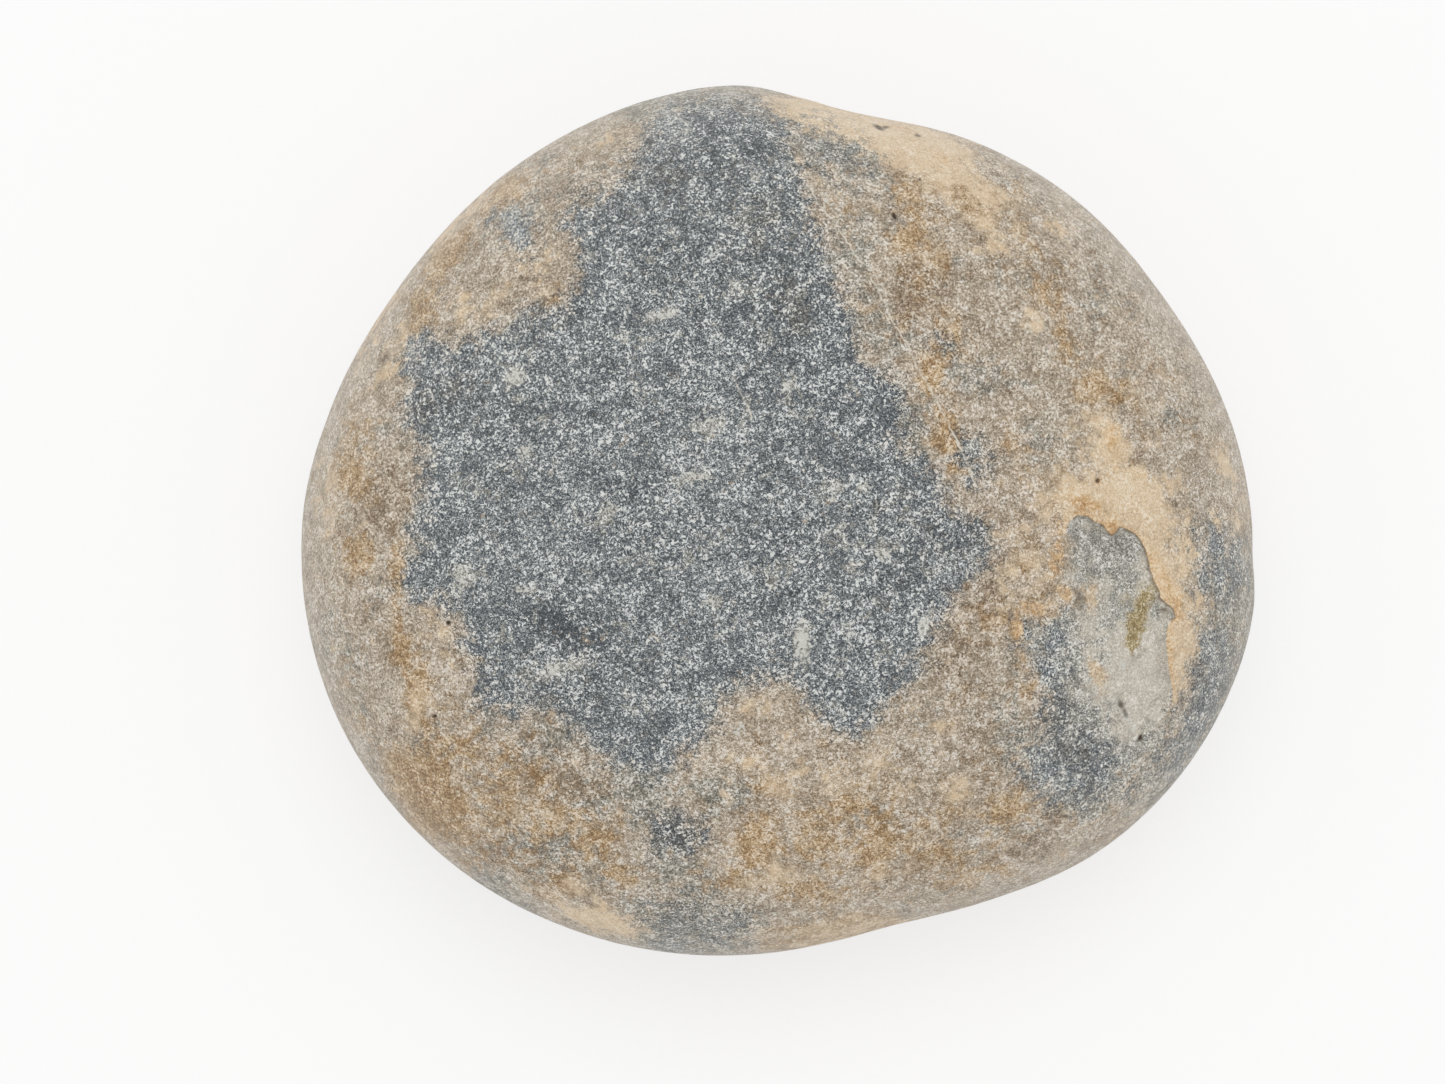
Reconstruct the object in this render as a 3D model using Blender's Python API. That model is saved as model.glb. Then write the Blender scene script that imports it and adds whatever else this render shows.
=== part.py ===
"""Ammonite nodule: one whole, closed, water-worn stone that lies on its belly.

The nodule is a single solid. Its form is a rounded lens: a rim seen from above, a crown over the
rim and a belly under it, worn by slow swells, a dent that crosses the rim, and a shallow scar where
a flake has come off and left a ledge.

Frame: metres, +Z up, +X along the longest side. The origin is the middle of the underside of the
stone's box, so the rest flat lies in the plane z = 0. The sizes below are in millimetres.
"""
import math

import bmesh
import bpy
import numpy as np

MM = 0.001
LAP = 2.0 * math.pi

# ---- Driving dimensions, in millimetres ----------------------------------------------------

CROWN_HEIGHT = 24.0       # from the girdle up to the top of the crown
BELLY_DEPTH = 22.8        # from the girdle down to where a whole belly would end
REST_CUT = 0.8            # what the rest flat takes off the belly
REST_BLEND = 0.35         # half height of the soft edge round the rest flat
CROWN_FULLNESS = 2.35     # 2 is an ellipse, more is a flatter top with a rounder shoulder
BELLY_FULLNESS = 2.2

# The rim seen from above: (angle from +X in degrees, distance from the middle).
RIM = (
    (0, 49.7), (12, 48.6), (30, 46.6), (48, 45.6), (64, 44.4), (75, 43.4), (81, 43.1),
    (87, 44.2), (95, 45.6), (105, 46.0), (125, 46.2), (148, 46.7), (165, 48.3), (180, 49.9),
    (203, 50.6), (225, 49.6), (245, 47.7), (268, 45.3), (279, 44.3), (287, 44.1), (299, 45.5),
    (314, 48.3), (328, 50.0), (342, 50.8), (350, 50.7), (356, 49.9),
)

# The crown leans: its high side is this share higher, towards this heading in degrees.
CROWN_LEAN = 0.05
CROWN_LEAN_HEADING = 140.0
BELLY_LEAN = 0.04
BELLY_LEAN_HEADING = 300.0

# The girdle, the line round the widest part, rises and falls twice in a lap.
GIRDLE_SWING = 1.1
GIRDLE_SWING_HEADING = 25.0

# Slow swells of the worn skin: (wavelength, heading in degrees, start in degrees, height).
SWELLS = ((64.0, 20.0, 40.0, 0.50), (47.0, 95.0, 200.0, 0.40), (33.0, 150.0, 310.0, 0.22))
BELLY_SWELL_START = 60.0   # degrees added to each start on the belly

# Worn dents of the crown: (x, y, half length, half width, heading in degrees, depth).
DENTS = (
    (15.0, 37.0, 15.0, 6.0, -25.0, 1.2),   # crosses the rim beside the hump at the far side
    (7.0, -42.0, 9.0, 5.0, 5.0, 0.5),      # shallow fold at the near side
    (47.0, 1.0, 5.0, 5.0, 0.0, 0.6),       # kink of the rim at the right
)

# The scar: a flake has come off inside this outline. The first LEDGE_POINTS points run along the
# ledge that the break left; the rest is the edge where the scar runs out into the worn skin.
SCAR = (
    (28.9, -0.4), (30.7, 0.1), (32.0, -0.5), (32.9, -1.6), (33.5, -1.6), (34.0, -1.0),
    (35.4, -1.6), (36.3, -3.2), (36.9, -5.2), (37.9, -7.3), (38.0, -8.1), (39.2, -9.1),
    (39.7, -10.0), (38.9, -10.4), (38.6, -11.6), (39.1, -15.0), (39.8, -17.7),
    (39.2, -21.0), (36.5, -25.0), (33.0, -27.6), (28.2, -28.0), (25.0, -25.1), (24.9, -23.2),
    (27.2, -19.6), (27.2, -17.5), (25.7, -14.2), (24.3, -12.6), (24.1, -9.9), (26.3, -11.1),
    (29.2, -8.6), (29.7, -7.6), (28.3, -6.1), (29.4, -3.3), (28.5, -1.2),
)
LEDGE_POINTS = 17
LEDGE_DEPTH = 0.95        # drop from the skin to the scar's floor beside the ledge
LEDGE_WIDTH = 0.7         # how wide the ledge's slope is, seen from above
SCAR_REACH = 9.0          # how far from the ledge the floor has mostly risen again
SCAR_EDGE_DEPTH = 0.2     # drop at the far edge of the scar

# ---- Faceting ------------------------------------------------------------------------------

BASE_SUBDIVISIONS = 5     # gives facets of about 3 mm all over
DETAIL_PASSES = 3
LEDGE_FACET = 0.9         # longest edge close to the scar's outline
SCAR_FACET = 1.8          # longest edge on the rest of the scar
DENT_FACET = 2.6          # longest edge in the dents
LEDGE_BAND = 1.1          # how far from the outline the ledge's small facets reach
COARSE_FACET = 100.0      # larger than any edge: no more cuts
SHARP_ANGLE = math.radians(40.0)

STONE_COLOUR = (0.36, 0.32, 0.26, 1.0)
STONE_ROUGHNESS = 0.82


# ---- The form ------------------------------------------------------------------------------

def rim_radius(turn):
    """Distance from the middle to the rim at angles in radians, on a smooth closed curve."""
    angles = np.radians([angle for angle, _ in RIM])
    radii = np.array([radius for _, radius in RIM])
    angles = np.concatenate((angles[-2:] - LAP, angles, angles[:3] + LAP))
    radii = np.concatenate((radii[-2:], radii, radii[:3]))
    slopes = np.zeros_like(radii)
    slopes[1:-1] = (radii[2:] - radii[:-2]) / (angles[2:] - angles[:-2])

    turn = np.mod(turn, LAP)
    left = np.searchsorted(angles, turn, side="right") - 1
    span = angles[left + 1] - angles[left]
    part = (turn - angles[left]) / span
    back = 1.0 - part
    return (back * back * (1.0 + 2.0 * part) * radii[left]
            + part * part * (3.0 - 2.0 * part) * radii[left + 1]
            + part * back * span * (back * slopes[left] - part * slopes[left + 1]))


def rim_middle():
    """Middle of the box round the rim, as an (x, y) pair."""
    turn = np.linspace(0.0, LAP, 1440, endpoint=False)
    radius = rim_radius(turn)
    x, y = radius * np.cos(turn), radius * np.sin(turn)
    return (x.min() + x.max()) / 2.0, (y.min() + y.max()) / 2.0


def ramp(value):
    """Smooth step from 0 at value 0 to 1 at value 1."""
    value = np.clip(value, 0.0, 1.0)
    return value * value * (3.0 - 2.0 * value)


def swell(x, y, start):
    """Height of the slow swells at points of the plan."""
    height = np.zeros_like(x)
    for wavelength, heading, phase, size in SWELLS:
        heading = math.radians(heading)
        along = x * math.cos(heading) + y * math.sin(heading)
        height += size * np.sin(LAP * along / wavelength + math.radians(phase + start))
    return height


def lean(x, y, share, heading):
    """Factor on the height that makes one side of the stone higher than the other."""
    heading = math.radians(heading)
    return 1.0 + share * (x * math.cos(heading) + y * math.sin(heading)) / RIM[0][1]


def dent_depth(x, y):
    """Depth of the worn dents at points of the plan."""
    depth = np.zeros_like(x)
    for middle_x, middle_y, half_length, half_width, heading, size in DENTS:
        heading = math.radians(heading)
        right, up = x - middle_x, y - middle_y
        along = (right * math.cos(heading) + up * math.sin(heading)) / half_length
        across = (up * math.cos(heading) - right * math.sin(heading)) / half_width
        depth += size * np.exp(-(along * along + across * across))
    return depth


def path_distance(x, y, points):
    """Distance from points of the plan to the nearest place on an open path."""
    nearest = np.full_like(x, np.inf)
    for (x0, y0), (x1, y1) in zip(points, points[1:]):
        run_x, run_y = x1 - x0, y1 - y0
        share = ((x - x0) * run_x + (y - y0) * run_y) / (run_x * run_x + run_y * run_y)
        share = np.clip(share, 0.0, 1.0)
        gap = np.hypot(x - x0 - share * run_x, y - y0 - share * run_y)
        nearest = np.minimum(nearest, gap)
    return nearest


def is_inside(x, y, outline):
    """True where points of the plan lie inside a closed outline."""
    inside = np.zeros(x.shape, dtype=bool)
    for (x0, y0), (x1, y1) in zip(outline, outline[1:] + outline[:1]):
        crosses = (y0 > y) != (y1 > y)
        rise = y1 - y0 if y1 != y0 else 1.0
        inside ^= crosses & (x < x0 + (y - y0) * (x1 - x0) / rise)
    return inside


def scar_depth(x, y):
    """Depth of the scar at points of the plan: a sharp drop at the ledge, rising away from it."""
    edge = path_distance(x, y, SCAR + SCAR[:1])
    ledge = path_distance(x, y, SCAR[:LEDGE_POINTS])
    floor = SCAR_EDGE_DEPTH + (LEDGE_DEPTH - SCAR_EDGE_DEPTH) * np.exp(-((ledge / SCAR_REACH) ** 2))
    return np.where(is_inside(x, y, SCAR), floor * ramp(edge / LEDGE_WIDTH), 0.0)


def stone_point(directions):
    """Places on the stone, in millimetres about the girdle's middle, for unit directions."""
    flat = np.hypot(directions[:, 0], directions[:, 1])
    rise = directions[:, 2]
    turn = np.arctan2(directions[:, 1], directions[:, 0])
    upper = rise >= 0.0
    fullness = np.where(upper, CROWN_FULLNESS, BELLY_FULLNESS)
    size = (flat ** fullness + np.abs(rise) ** fullness) ** (-1.0 / fullness)
    reach, lift = flat * size, np.abs(rise) * size

    x = rim_radius(turn) * reach * np.cos(turn)
    y = rim_radius(turn) * reach * np.sin(turn)
    crown = CROWN_HEIGHT * lean(x, y, CROWN_LEAN, CROWN_LEAN_HEADING)
    crown = crown + swell(x, y, 0.0) - dent_depth(x, y) - scar_depth(x, y)
    belly = BELLY_DEPTH * lean(x, y, BELLY_LEAN, BELLY_LEAN_HEADING)
    belly = belly + swell(x, y, BELLY_SWELL_START)
    swing = GIRDLE_SWING * np.sin(2.0 * turn - 2.0 * math.radians(GIRDLE_SWING_HEADING))
    z = np.where(upper, crown, -belly) * lift + swing * reach * reach
    return np.column_stack((x, y, z))


def rest_level(points):
    """Height of the rest flat: a little above the lowest point of the belly."""
    return points[:, 2].min() + REST_CUT


def wear_rest_flat(points, level):
    """Wear everything below a level down to it, with a soft edge."""
    above = points[:, 2] - level
    soft = level + (above + REST_BLEND) ** 2 / (4.0 * REST_BLEND)
    points[:, 2] = np.where(above > REST_BLEND, points[:, 2],
                            np.where(above < -REST_BLEND, level, soft))
    return points


# ---- The mesh ------------------------------------------------------------------------------

def wanted_edge(points):
    """Longest edge that the form allows at each of these places."""
    x, y, upper = points[:, 0], points[:, 1], points[:, 2] > 0.0
    edge = path_distance(x, y, SCAR + SCAR[:1])
    wanted = np.full_like(x, COARSE_FACET)
    wanted = np.where(dent_depth(x, y) > 0.35, DENT_FACET, wanted)
    wanted = np.where(is_inside(x, y, SCAR), SCAR_FACET, wanted)
    wanted = np.where(edge < LEDGE_BAND, LEDGE_FACET, wanted)
    return np.where(upper, wanted, COARSE_FACET)


def unit_directions(mesh):
    """Unit directions of a bmesh's vertices, as an array of rows."""
    directions = np.array([vertex.co[:] for vertex in mesh.verts])
    return directions / np.linalg.norm(directions, axis=1, keepdims=True)


def refine(mesh):
    """Cut the edges that are longer than the form allows, and keep the vertices on the ball."""
    mesh.verts.index_update()
    points = stone_point(unit_directions(mesh))
    edges = list(mesh.edges)
    ends = np.array([[vertex.index for vertex in edge.verts] for edge in edges])
    first, second = points[ends[:, 0]], points[ends[:, 1]]
    length = np.linalg.norm(first - second, axis=1)
    too_long = length > wanted_edge((first + second) / 2.0)
    cut = [edge for edge, is_long in zip(edges, too_long) if is_long]
    bmesh.ops.subdivide_edges(mesh, edges=cut, cuts=1, use_grid_fill=True)
    bmesh.ops.triangulate(mesh, faces=mesh.faces)
    for vertex in mesh.verts:
        vertex.co.normalize()


def build_nodule():
    """Make the nodule's mesh object."""
    mesh = bmesh.new()
    bmesh.ops.create_icosphere(mesh, subdivisions=BASE_SUBDIVISIONS, radius=1.0)
    for _ in range(DETAIL_PASSES):
        refine(mesh)

    points = stone_point(unit_directions(mesh))
    level = rest_level(points)
    points = wear_rest_flat(points, level)
    middle_x, middle_y = rim_middle()
    points -= np.array((middle_x, middle_y, level))
    for vertex, point in zip(mesh.verts, points):
        vertex.co = point * MM
    bmesh.ops.recalc_face_normals(mesh, faces=mesh.faces)

    data = bpy.data.meshes.new("nodule")
    mesh.to_mesh(data)
    mesh.free()
    data.shade_smooth()
    data.set_sharp_from_angle(angle=SHARP_ANGLE)
    nodule = bpy.data.objects.new("nodule", data)
    bpy.context.scene.collection.objects.link(nodule)
    return nodule


def stone_material():
    """Dull, weathered stone."""
    material = bpy.data.materials.new("weathered_stone")
    material.use_nodes = True
    shader = material.node_tree.nodes["Principled BSDF"]
    shader.inputs["Base Color"].default_value = STONE_COLOUR
    shader.inputs["Roughness"].default_value = STONE_ROUGHNESS
    shader.inputs["Metallic"].default_value = 0.0
    return material


def clear_scene():
    """Remove the objects that the file opened with."""
    for thing in list(bpy.data.objects):
        bpy.data.objects.remove(thing, do_unlink=True)


def main():
    """Build the stone and give it its material."""
    clear_scene()
    nodule = build_nodule()
    nodule.data.materials.append(stone_material())


if __name__ == "__main__":
    main()
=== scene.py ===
"""Looks of the ammonite nodule: a worn, speckled stone that lies on a pale floor in soft light.

The stone is one piece. Its skin is a tan rind that has worn through to a blue-grey core, with
cream and ochre stains, pale veins and flecks, small pits, and a shallow scar with a sharp ledge.

Sizes are in millimetres, as their names say, and meshes are made in metres. +X runs along the
stone's longest side and +Z goes up through its crown. The plan is the stone seen from above.
"""

import logging
import math
from dataclasses import dataclass, field
from enum import Enum

import bmesh
import bpy
import numpy as np
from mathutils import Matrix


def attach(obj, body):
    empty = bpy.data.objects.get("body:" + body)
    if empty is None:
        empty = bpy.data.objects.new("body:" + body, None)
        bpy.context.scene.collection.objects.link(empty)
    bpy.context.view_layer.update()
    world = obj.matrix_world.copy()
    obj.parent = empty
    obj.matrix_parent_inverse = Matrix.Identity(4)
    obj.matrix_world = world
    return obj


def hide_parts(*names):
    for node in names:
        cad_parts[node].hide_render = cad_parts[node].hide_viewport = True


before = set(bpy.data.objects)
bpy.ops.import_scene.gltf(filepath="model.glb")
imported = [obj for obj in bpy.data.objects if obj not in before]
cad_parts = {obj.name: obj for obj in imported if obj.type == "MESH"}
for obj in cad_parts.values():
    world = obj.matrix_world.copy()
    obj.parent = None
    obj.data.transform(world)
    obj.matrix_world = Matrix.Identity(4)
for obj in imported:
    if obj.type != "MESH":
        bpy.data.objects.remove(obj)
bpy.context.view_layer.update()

LOG = logging.getLogger("nodule")
MM = 0.001
LAP = 2.0 * math.pi

Path = tuple[tuple[float, float], ...]
Colour = tuple[float, float, float]


# ---- Shared arithmetic -----------------------------------------------------------------------

def ramp(value: np.ndarray) -> np.ndarray:
    """Smooth step from 0 at value 0 to 1 at value 1."""
    value = np.clip(value, 0.0, 1.0)
    return value * value * (3.0 - 2.0 * value)


def path_sides(x: np.ndarray, y: np.ndarray, path: Path) -> tuple[np.ndarray, np.ndarray]:
    """Distance from points of the plan to an open path, and how far they lie to its right.

    Args:
        x: Places along X, in mm.
        y: Places along Y, in mm.
        path: The path's corners, in mm.

    Returns:
        For each point the distance to the path, and the signed distance to the line of the
        nearest stretch, which is negative on the path's left. Both are in mm.
    """
    nearest, side = np.full_like(x, np.inf), np.full_like(x, np.inf)
    for (x0, y0), (x1, y1) in zip(path, path[1:]):
        run_x, run_y = x1 - x0, y1 - y0
        share = ((x - x0) * run_x + (y - y0) * run_y) / (run_x * run_x + run_y * run_y)
        share = np.clip(share, 0.0, 1.0)
        gap = np.hypot(x - x0 - share * run_x, y - y0 - share * run_y)
        off = ((x - x0) * run_y - (y - y0) * run_x) / math.hypot(run_x, run_y)
        side = np.where(gap < nearest, off, side)
        nearest = np.minimum(nearest, gap)
    return nearest, side


def path_distance(x: np.ndarray, y: np.ndarray, path: Path) -> np.ndarray:
    """Distance from points of the plan to the nearest place on an open path, in mm."""
    return path_sides(x, y, path)[0]


def is_inside(x: np.ndarray, y: np.ndarray, outline: Path) -> np.ndarray:
    """True where points of the plan lie inside a closed outline.

    Args:
        x: Places along X, in mm.
        y: Places along Y, in mm.
        outline: The outline's corners, in mm, without a repeat of the first.

    Returns:
        One truth value for each point.
    """
    inside = np.zeros(x.shape, dtype=bool)
    for (x0, y0), (x1, y1) in zip(outline, outline[1:] + outline[:1]):
        crosses = (y0 > y) != (y1 > y)
        rise = y1 - y0 if y1 != y0 else 1.0
        inside ^= crosses & (x < x0 + (y - y0) * (x1 - x0) / rise)
    return inside


def signed_edge(x: np.ndarray, y: np.ndarray, outline: Path) -> np.ndarray:
    """Distance to a closed outline, in mm, positive inside it and negative outside."""
    edge = path_distance(x, y, outline + outline[:1])
    return np.where(is_inside(x, y, outline), edge, -edge)


@dataclass(frozen=True)
class Spot:
    """A soft oval on the plan, such as a dent, a pit or a stain.

    Attributes:
        x: Middle along X, in mm.
        y: Middle along Y, in mm.
        half_length: Half the long way, in mm.
        half_width: Half the short way, in mm.
        heading: Direction of the long way, in degrees from +X.
        strength: Depth in mm, or how strong the stain is.
    """

    x: float
    y: float
    half_length: float
    half_width: float
    heading: float = 0.0
    strength: float = 1.0

    def reach(self, x: np.ndarray, y: np.ndarray) -> np.ndarray:
        """Distance from the middle, where 1 is the oval's edge.

        Args:
            x: Places along X, in mm.
            y: Places along Y, in mm.

        Returns:
            One number for each point.
        """
        heading = math.radians(self.heading)
        right, up = x - self.x, y - self.y
        along = (right * math.cos(heading) + up * math.sin(heading)) / self.half_length
        across = (up * math.cos(heading) - right * math.sin(heading)) / self.half_width
        return np.hypot(along, across)

    def bell(self, x: np.ndarray, y: np.ndarray) -> np.ndarray:
        """The spot's strength at points of the plan, fading as a bell curve."""
        return self.strength * np.exp(-self.reach(x, y) ** 2)


def spots(*rows: tuple[float, ...]) -> tuple[Spot, ...]:
    """Spots from rows of x, y, half length, half width, heading and strength."""
    return tuple(Spot(*row) for row in rows)


def strongest(group: tuple[Spot, ...], x: np.ndarray, y: np.ndarray) -> np.ndarray:
    """The strongest of several spots at points of the plan.

    Args:
        group: The spots.
        x: Places along X, in mm.
        y: Places along Y, in mm.

    Returns:
        One strength for each point.
    """
    most = np.zeros_like(x)
    for spot in group:
        most = np.maximum(most, spot.bell(x, y))
    return most


# ---- The stone's form ------------------------------------------------------------------------

@dataclass
class NoduleForm:
    """The worn shape: a rim seen from above, a crown over it and a belly under it, in mm."""

    crown_height: float = 24.0
    belly_depth: float = 22.8
    rest_cut: float = 0.8
    rest_blend: float = 0.35
    crown_fullness: float = 2.35
    belly_fullness: float = 2.2
    crown_lean: float = 0.05
    crown_lean_heading: float = 140.0
    belly_lean: float = 0.04
    belly_lean_heading: float = 300.0
    girdle_swing: float = 1.1
    girdle_swing_heading: float = 25.0
    belly_swell_start: float = 60.0

    # The rim: (angle from +X in degrees, distance from the middle).
    rim: Path = (
        (0, 49.7), (12, 48.6), (30, 46.6), (48, 45.6), (64, 44.4), (75, 43.4), (81, 43.4),
        (87, 44.2), (95, 45.6), (105, 46), (125, 46.2), (148, 46.7), (165, 48.3), (180, 49.9),
        (203, 50.6), (225, 49.6), (245, 47.7), (268, 45.3), (279, 44.3), (287, 44.1), (299, 45.5),
        (314, 48.3), (328, 50), (342, 50.8), (350, 50.7), (356, 49.9),
    )
    # Slow swells of the skin: (wavelength, heading in degrees, start in degrees, height).
    swells: tuple[tuple[float, float, float, float], ...] = (
        (64.0, 20.0, 40.0, 0.50), (47.0, 95.0, 200.0, 0.40), (33.0, 150.0, 310.0, 0.22),
    )
    dents: tuple[Spot, ...] = spots(
        (15, 37, 15, 6, -25, 1.2), (7, -42, 9, 5, 5, 0.5), (47, 1, 5, 5, 0, 0.6))
    # The scar's outline. Its first ledge_points points run along the ledge.
    scar: Path = (
        (29.7, 0.4), (30.8, 0.3), (31.4, -0.2), (32.4, -0.6), (32.7, -1.1), (33.3, -1.6),
        (33.8, -1.2), (34.1, -0.7), (35.1, -1.1), (35.8, -1.5), (36.3, -2.1), (36.8, -3),
        (37.1, -4), (37.3, -5), (37.7, -6.2), (38.3, -7.2), (38.4, -7.9), (39.1, -8.5), (39.8, -9),
        (40.1, -9.9), (39.5, -10.3), (39.2, -11.2), (39.2, -12.6), (39.5, -15), (40.1, -17.7),
        (39.2, -21), (36.5, -25), (33, -27.6), (28.2, -28), (25, -25.1), (24.9, -23.2),
        (27.2, -19.6), (27.2, -17.5), (25.7, -14.2), (24.3, -12.6), (24.1, -9.9), (26.3, -11.1),
        (29.2, -8.6), (29.7, -7.6), (28.3, -6.1), (29.4, -3.3), (28.5, -1.2), (28.8, -0.3),
    )
    ledge_points: int = 25
    seam_points: int = 20       # of those, the ones where the ledge is sharp
    ledge_depth: float = 0.95
    ledge_width: float = 0.4
    wall_growth: float = 0.3    # how much wider the wall gets with the distance from the ledge
    scar_reach: float = 9.0     # how far from the ledge the floor has risen by two thirds
    scar_edge_depth: float = 0.2
    pit_wall: float = 1.3       # above 1, the pits have a flat floor
    rim_samples: int = 1440     # for finding the middle of the rim's box

    # Single pits and gouges of the crown: the strength is the depth.
    pits: tuple[Spot, ...] = spots(
        (10.2, 40.3, 0.95, 0.4, -30, 0.5), (10.9, 40.35, 0.65, 0.3, 12, 0.42),
        (14.2, 39.5, 0.5, 0.3, -10, 0.4), (34.5, -18.7, 0.7, 0.46, -50, 0.42),
        (35, -19.6, 0.9, 0.28, -66, 0.34), (36.7, -22.2, 0.6, 0.3, 55, 0.5),
        (29.2, -30.2, 0.75, 0.3, -15, 0.35), (27.8, -30.7, 0.45, 0.3, 20, 0.25),
        (-33.3, -10.35, 0.34, 0.28, 0, 0.66), (-34.8, -19.8, 0.26, 0.22, 0, 0.5),
        (31.8, 3.9, 0.34, 0.28, 30, 0.45), (20.2, 31.9, 0.34, 0.2, 20, 0.3),
        (11.4, 30.4, 0.56, 0.24, -65, 0.52), (14.1, 34.4, 0.24, 0.2, 0, 0.42),
        (7.8, 2.8, 0.3, 0.25, 0, 0.2), (-18.6, 10.5, 0.3, 0.3, 0, 0.22))

    def rim_radius(self, turn: np.ndarray) -> np.ndarray:
        """Distance from the middle to the rim, on a smooth closed curve.

        Args:
            turn: Angles from +X, in radians.

        Returns:
            One distance for each angle, in mm.
        """
        angles = np.radians([angle for angle, _ in self.rim])
        radii = np.array([radius for _, radius in self.rim])
        angles = np.concatenate((angles[-2:] - LAP, angles, angles[:3] + LAP))
        radii = np.concatenate((radii[-2:], radii, radii[:3]))
        slopes = np.zeros_like(radii)
        slopes[1:-1] = (radii[2:] - radii[:-2]) / (angles[2:] - angles[:-2])

        turn = np.mod(turn, LAP)
        left = np.searchsorted(angles, turn, side="right") - 1
        span = angles[left + 1] - angles[left]
        part = (turn - angles[left]) / span
        back = 1.0 - part
        return (back * back * (1.0 + 2.0 * part) * radii[left]
                + part * part * (3.0 - 2.0 * part) * radii[left + 1]
                + part * back * span * (back * slopes[left] - part * slopes[left + 1]))

    def rim_middle(self) -> tuple[float, float]:
        """Middle of the box round the rim.

        Returns:
            Its x and y, in mm.
        """
        turn = np.linspace(0.0, LAP, self.rim_samples, endpoint=False)
        radius = self.rim_radius(turn)
        x, y = radius * np.cos(turn), radius * np.sin(turn)
        return (x.min() + x.max()) / 2.0, (y.min() + y.max()) / 2.0

    def swell(self, x: np.ndarray, y: np.ndarray, start: float) -> np.ndarray:
        """Height of the slow swells.

        Args:
            x: Places along X, in mm.
            y: Places along Y, in mm.
            start: Degrees added to each swell's start.

        Returns:
            One height for each point, in mm.
        """
        height = np.zeros_like(x)
        for wavelength, heading, phase, size in self.swells:
            heading = math.radians(heading)
            along = x * math.cos(heading) + y * math.sin(heading)
            height += size * np.sin(LAP * along / wavelength + math.radians(phase + start))
        return height

    def lean(self, x: np.ndarray, y: np.ndarray, share: float, heading: float) -> np.ndarray:
        """Factor on the height that makes the side towards a heading, in degrees, higher."""
        heading = math.radians(heading)
        return 1.0 + share * (x * math.cos(heading) + y * math.sin(heading)) / self.rim[0][1]

    def scar_depth(self, x: np.ndarray, y: np.ndarray) -> np.ndarray:
        """Depth of the scar: a sharp drop at the ledge, rising away from it.

        Args:
            x: Places along X, in mm.
            y: Places along Y, in mm.

        Returns:
            One depth for each point, in mm.
        """
        edge = path_distance(x, y, self.scar + self.scar[:1])
        ledge = path_distance(x, y, self.scar[:self.ledge_points])
        fall = self.ledge_depth - self.scar_edge_depth
        floor = self.scar_edge_depth + fall * np.exp(-((ledge / self.scar_reach) ** 2))
        wall = self.ledge_width + self.wall_growth * ledge
        return np.where(is_inside(x, y, self.scar), floor * ramp(edge / wall), 0.0)

    def pit_depth(self, x: np.ndarray, y: np.ndarray) -> np.ndarray:
        """Depth of the single pits and gouges.

        Args:
            x: Places along X, in mm.
            y: Places along Y, in mm.

        Returns:
            One depth for each point, in mm.
        """
        depth = np.zeros_like(x)
        for pit in self.pits:
            sunk = ramp(self.pit_wall * (1.0 - pit.reach(x, y)))
            depth = np.maximum(depth, pit.strength * sunk)
        return depth

    def place(self, directions: np.ndarray) -> tuple[np.ndarray, np.ndarray]:
        """Places on the stone for unit directions from its middle.

        Args:
            directions: One unit direction in each row.

        Returns:
            The places about the girdle's middle, and their unrolled plan: on the crown it is the
            plan itself, and the belly goes on outwards from the rim. Both are in mm.
        """
        flat = np.hypot(directions[:, 0], directions[:, 1])
        rise = directions[:, 2]
        turn = np.arctan2(directions[:, 1], directions[:, 0])
        upper = rise >= 0.0
        fullness = np.where(upper, self.crown_fullness, self.belly_fullness)
        size = (flat ** fullness + np.abs(rise) ** fullness) ** (-1.0 / fullness)
        reach, lift = flat * size, np.abs(rise) * size

        radius = self.rim_radius(turn)
        x, y = radius * reach * np.cos(turn), radius * reach * np.sin(turn)
        crown = self.crown_height * self.lean(x, y, self.crown_lean, self.crown_lean_heading)
        crown += self.swell(x, y, 0.0) - self.scar_depth(x, y) - self.pit_depth(x, y)
        for dent in self.dents:
            crown -= dent.bell(x, y)
        belly = self.belly_depth * self.lean(x, y, self.belly_lean, self.belly_lean_heading)
        belly += self.swell(x, y, self.belly_swell_start)
        bend = np.sin(2.0 * turn - 2.0 * math.radians(self.girdle_swing_heading))
        z = np.where(upper, crown, -belly) * lift + self.girdle_swing * bend * reach * reach

        unrolled = radius * np.where(upper, reach, 2.0 - reach)
        plan = np.column_stack((unrolled * np.cos(turn), unrolled * np.sin(turn)))
        return np.column_stack((x, y, z)), plan

    def rest(self, places: np.ndarray) -> np.ndarray:
        """Wear the rest flat and stand the stone on the plane z = 0, over the origin.

        Args:
            places: Places about the girdle's middle, in mm.

        Returns:
            The same places in the row's frame, in mm.
        """
        level = places[:, 2].min() + self.rest_cut
        above = places[:, 2] - level
        soft = (above + self.rest_blend) ** 2 / (4.0 * self.rest_blend)
        worn = np.where(above < -self.rest_blend, 0.0, soft)
        worn = np.where(above > self.rest_blend, above, worn)
        middle_x, middle_y = self.rim_middle()
        return np.column_stack((places[:, 0] - middle_x, places[:, 1] - middle_y, worn))


# ---- Where the marks lie ---------------------------------------------------------------------

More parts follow.
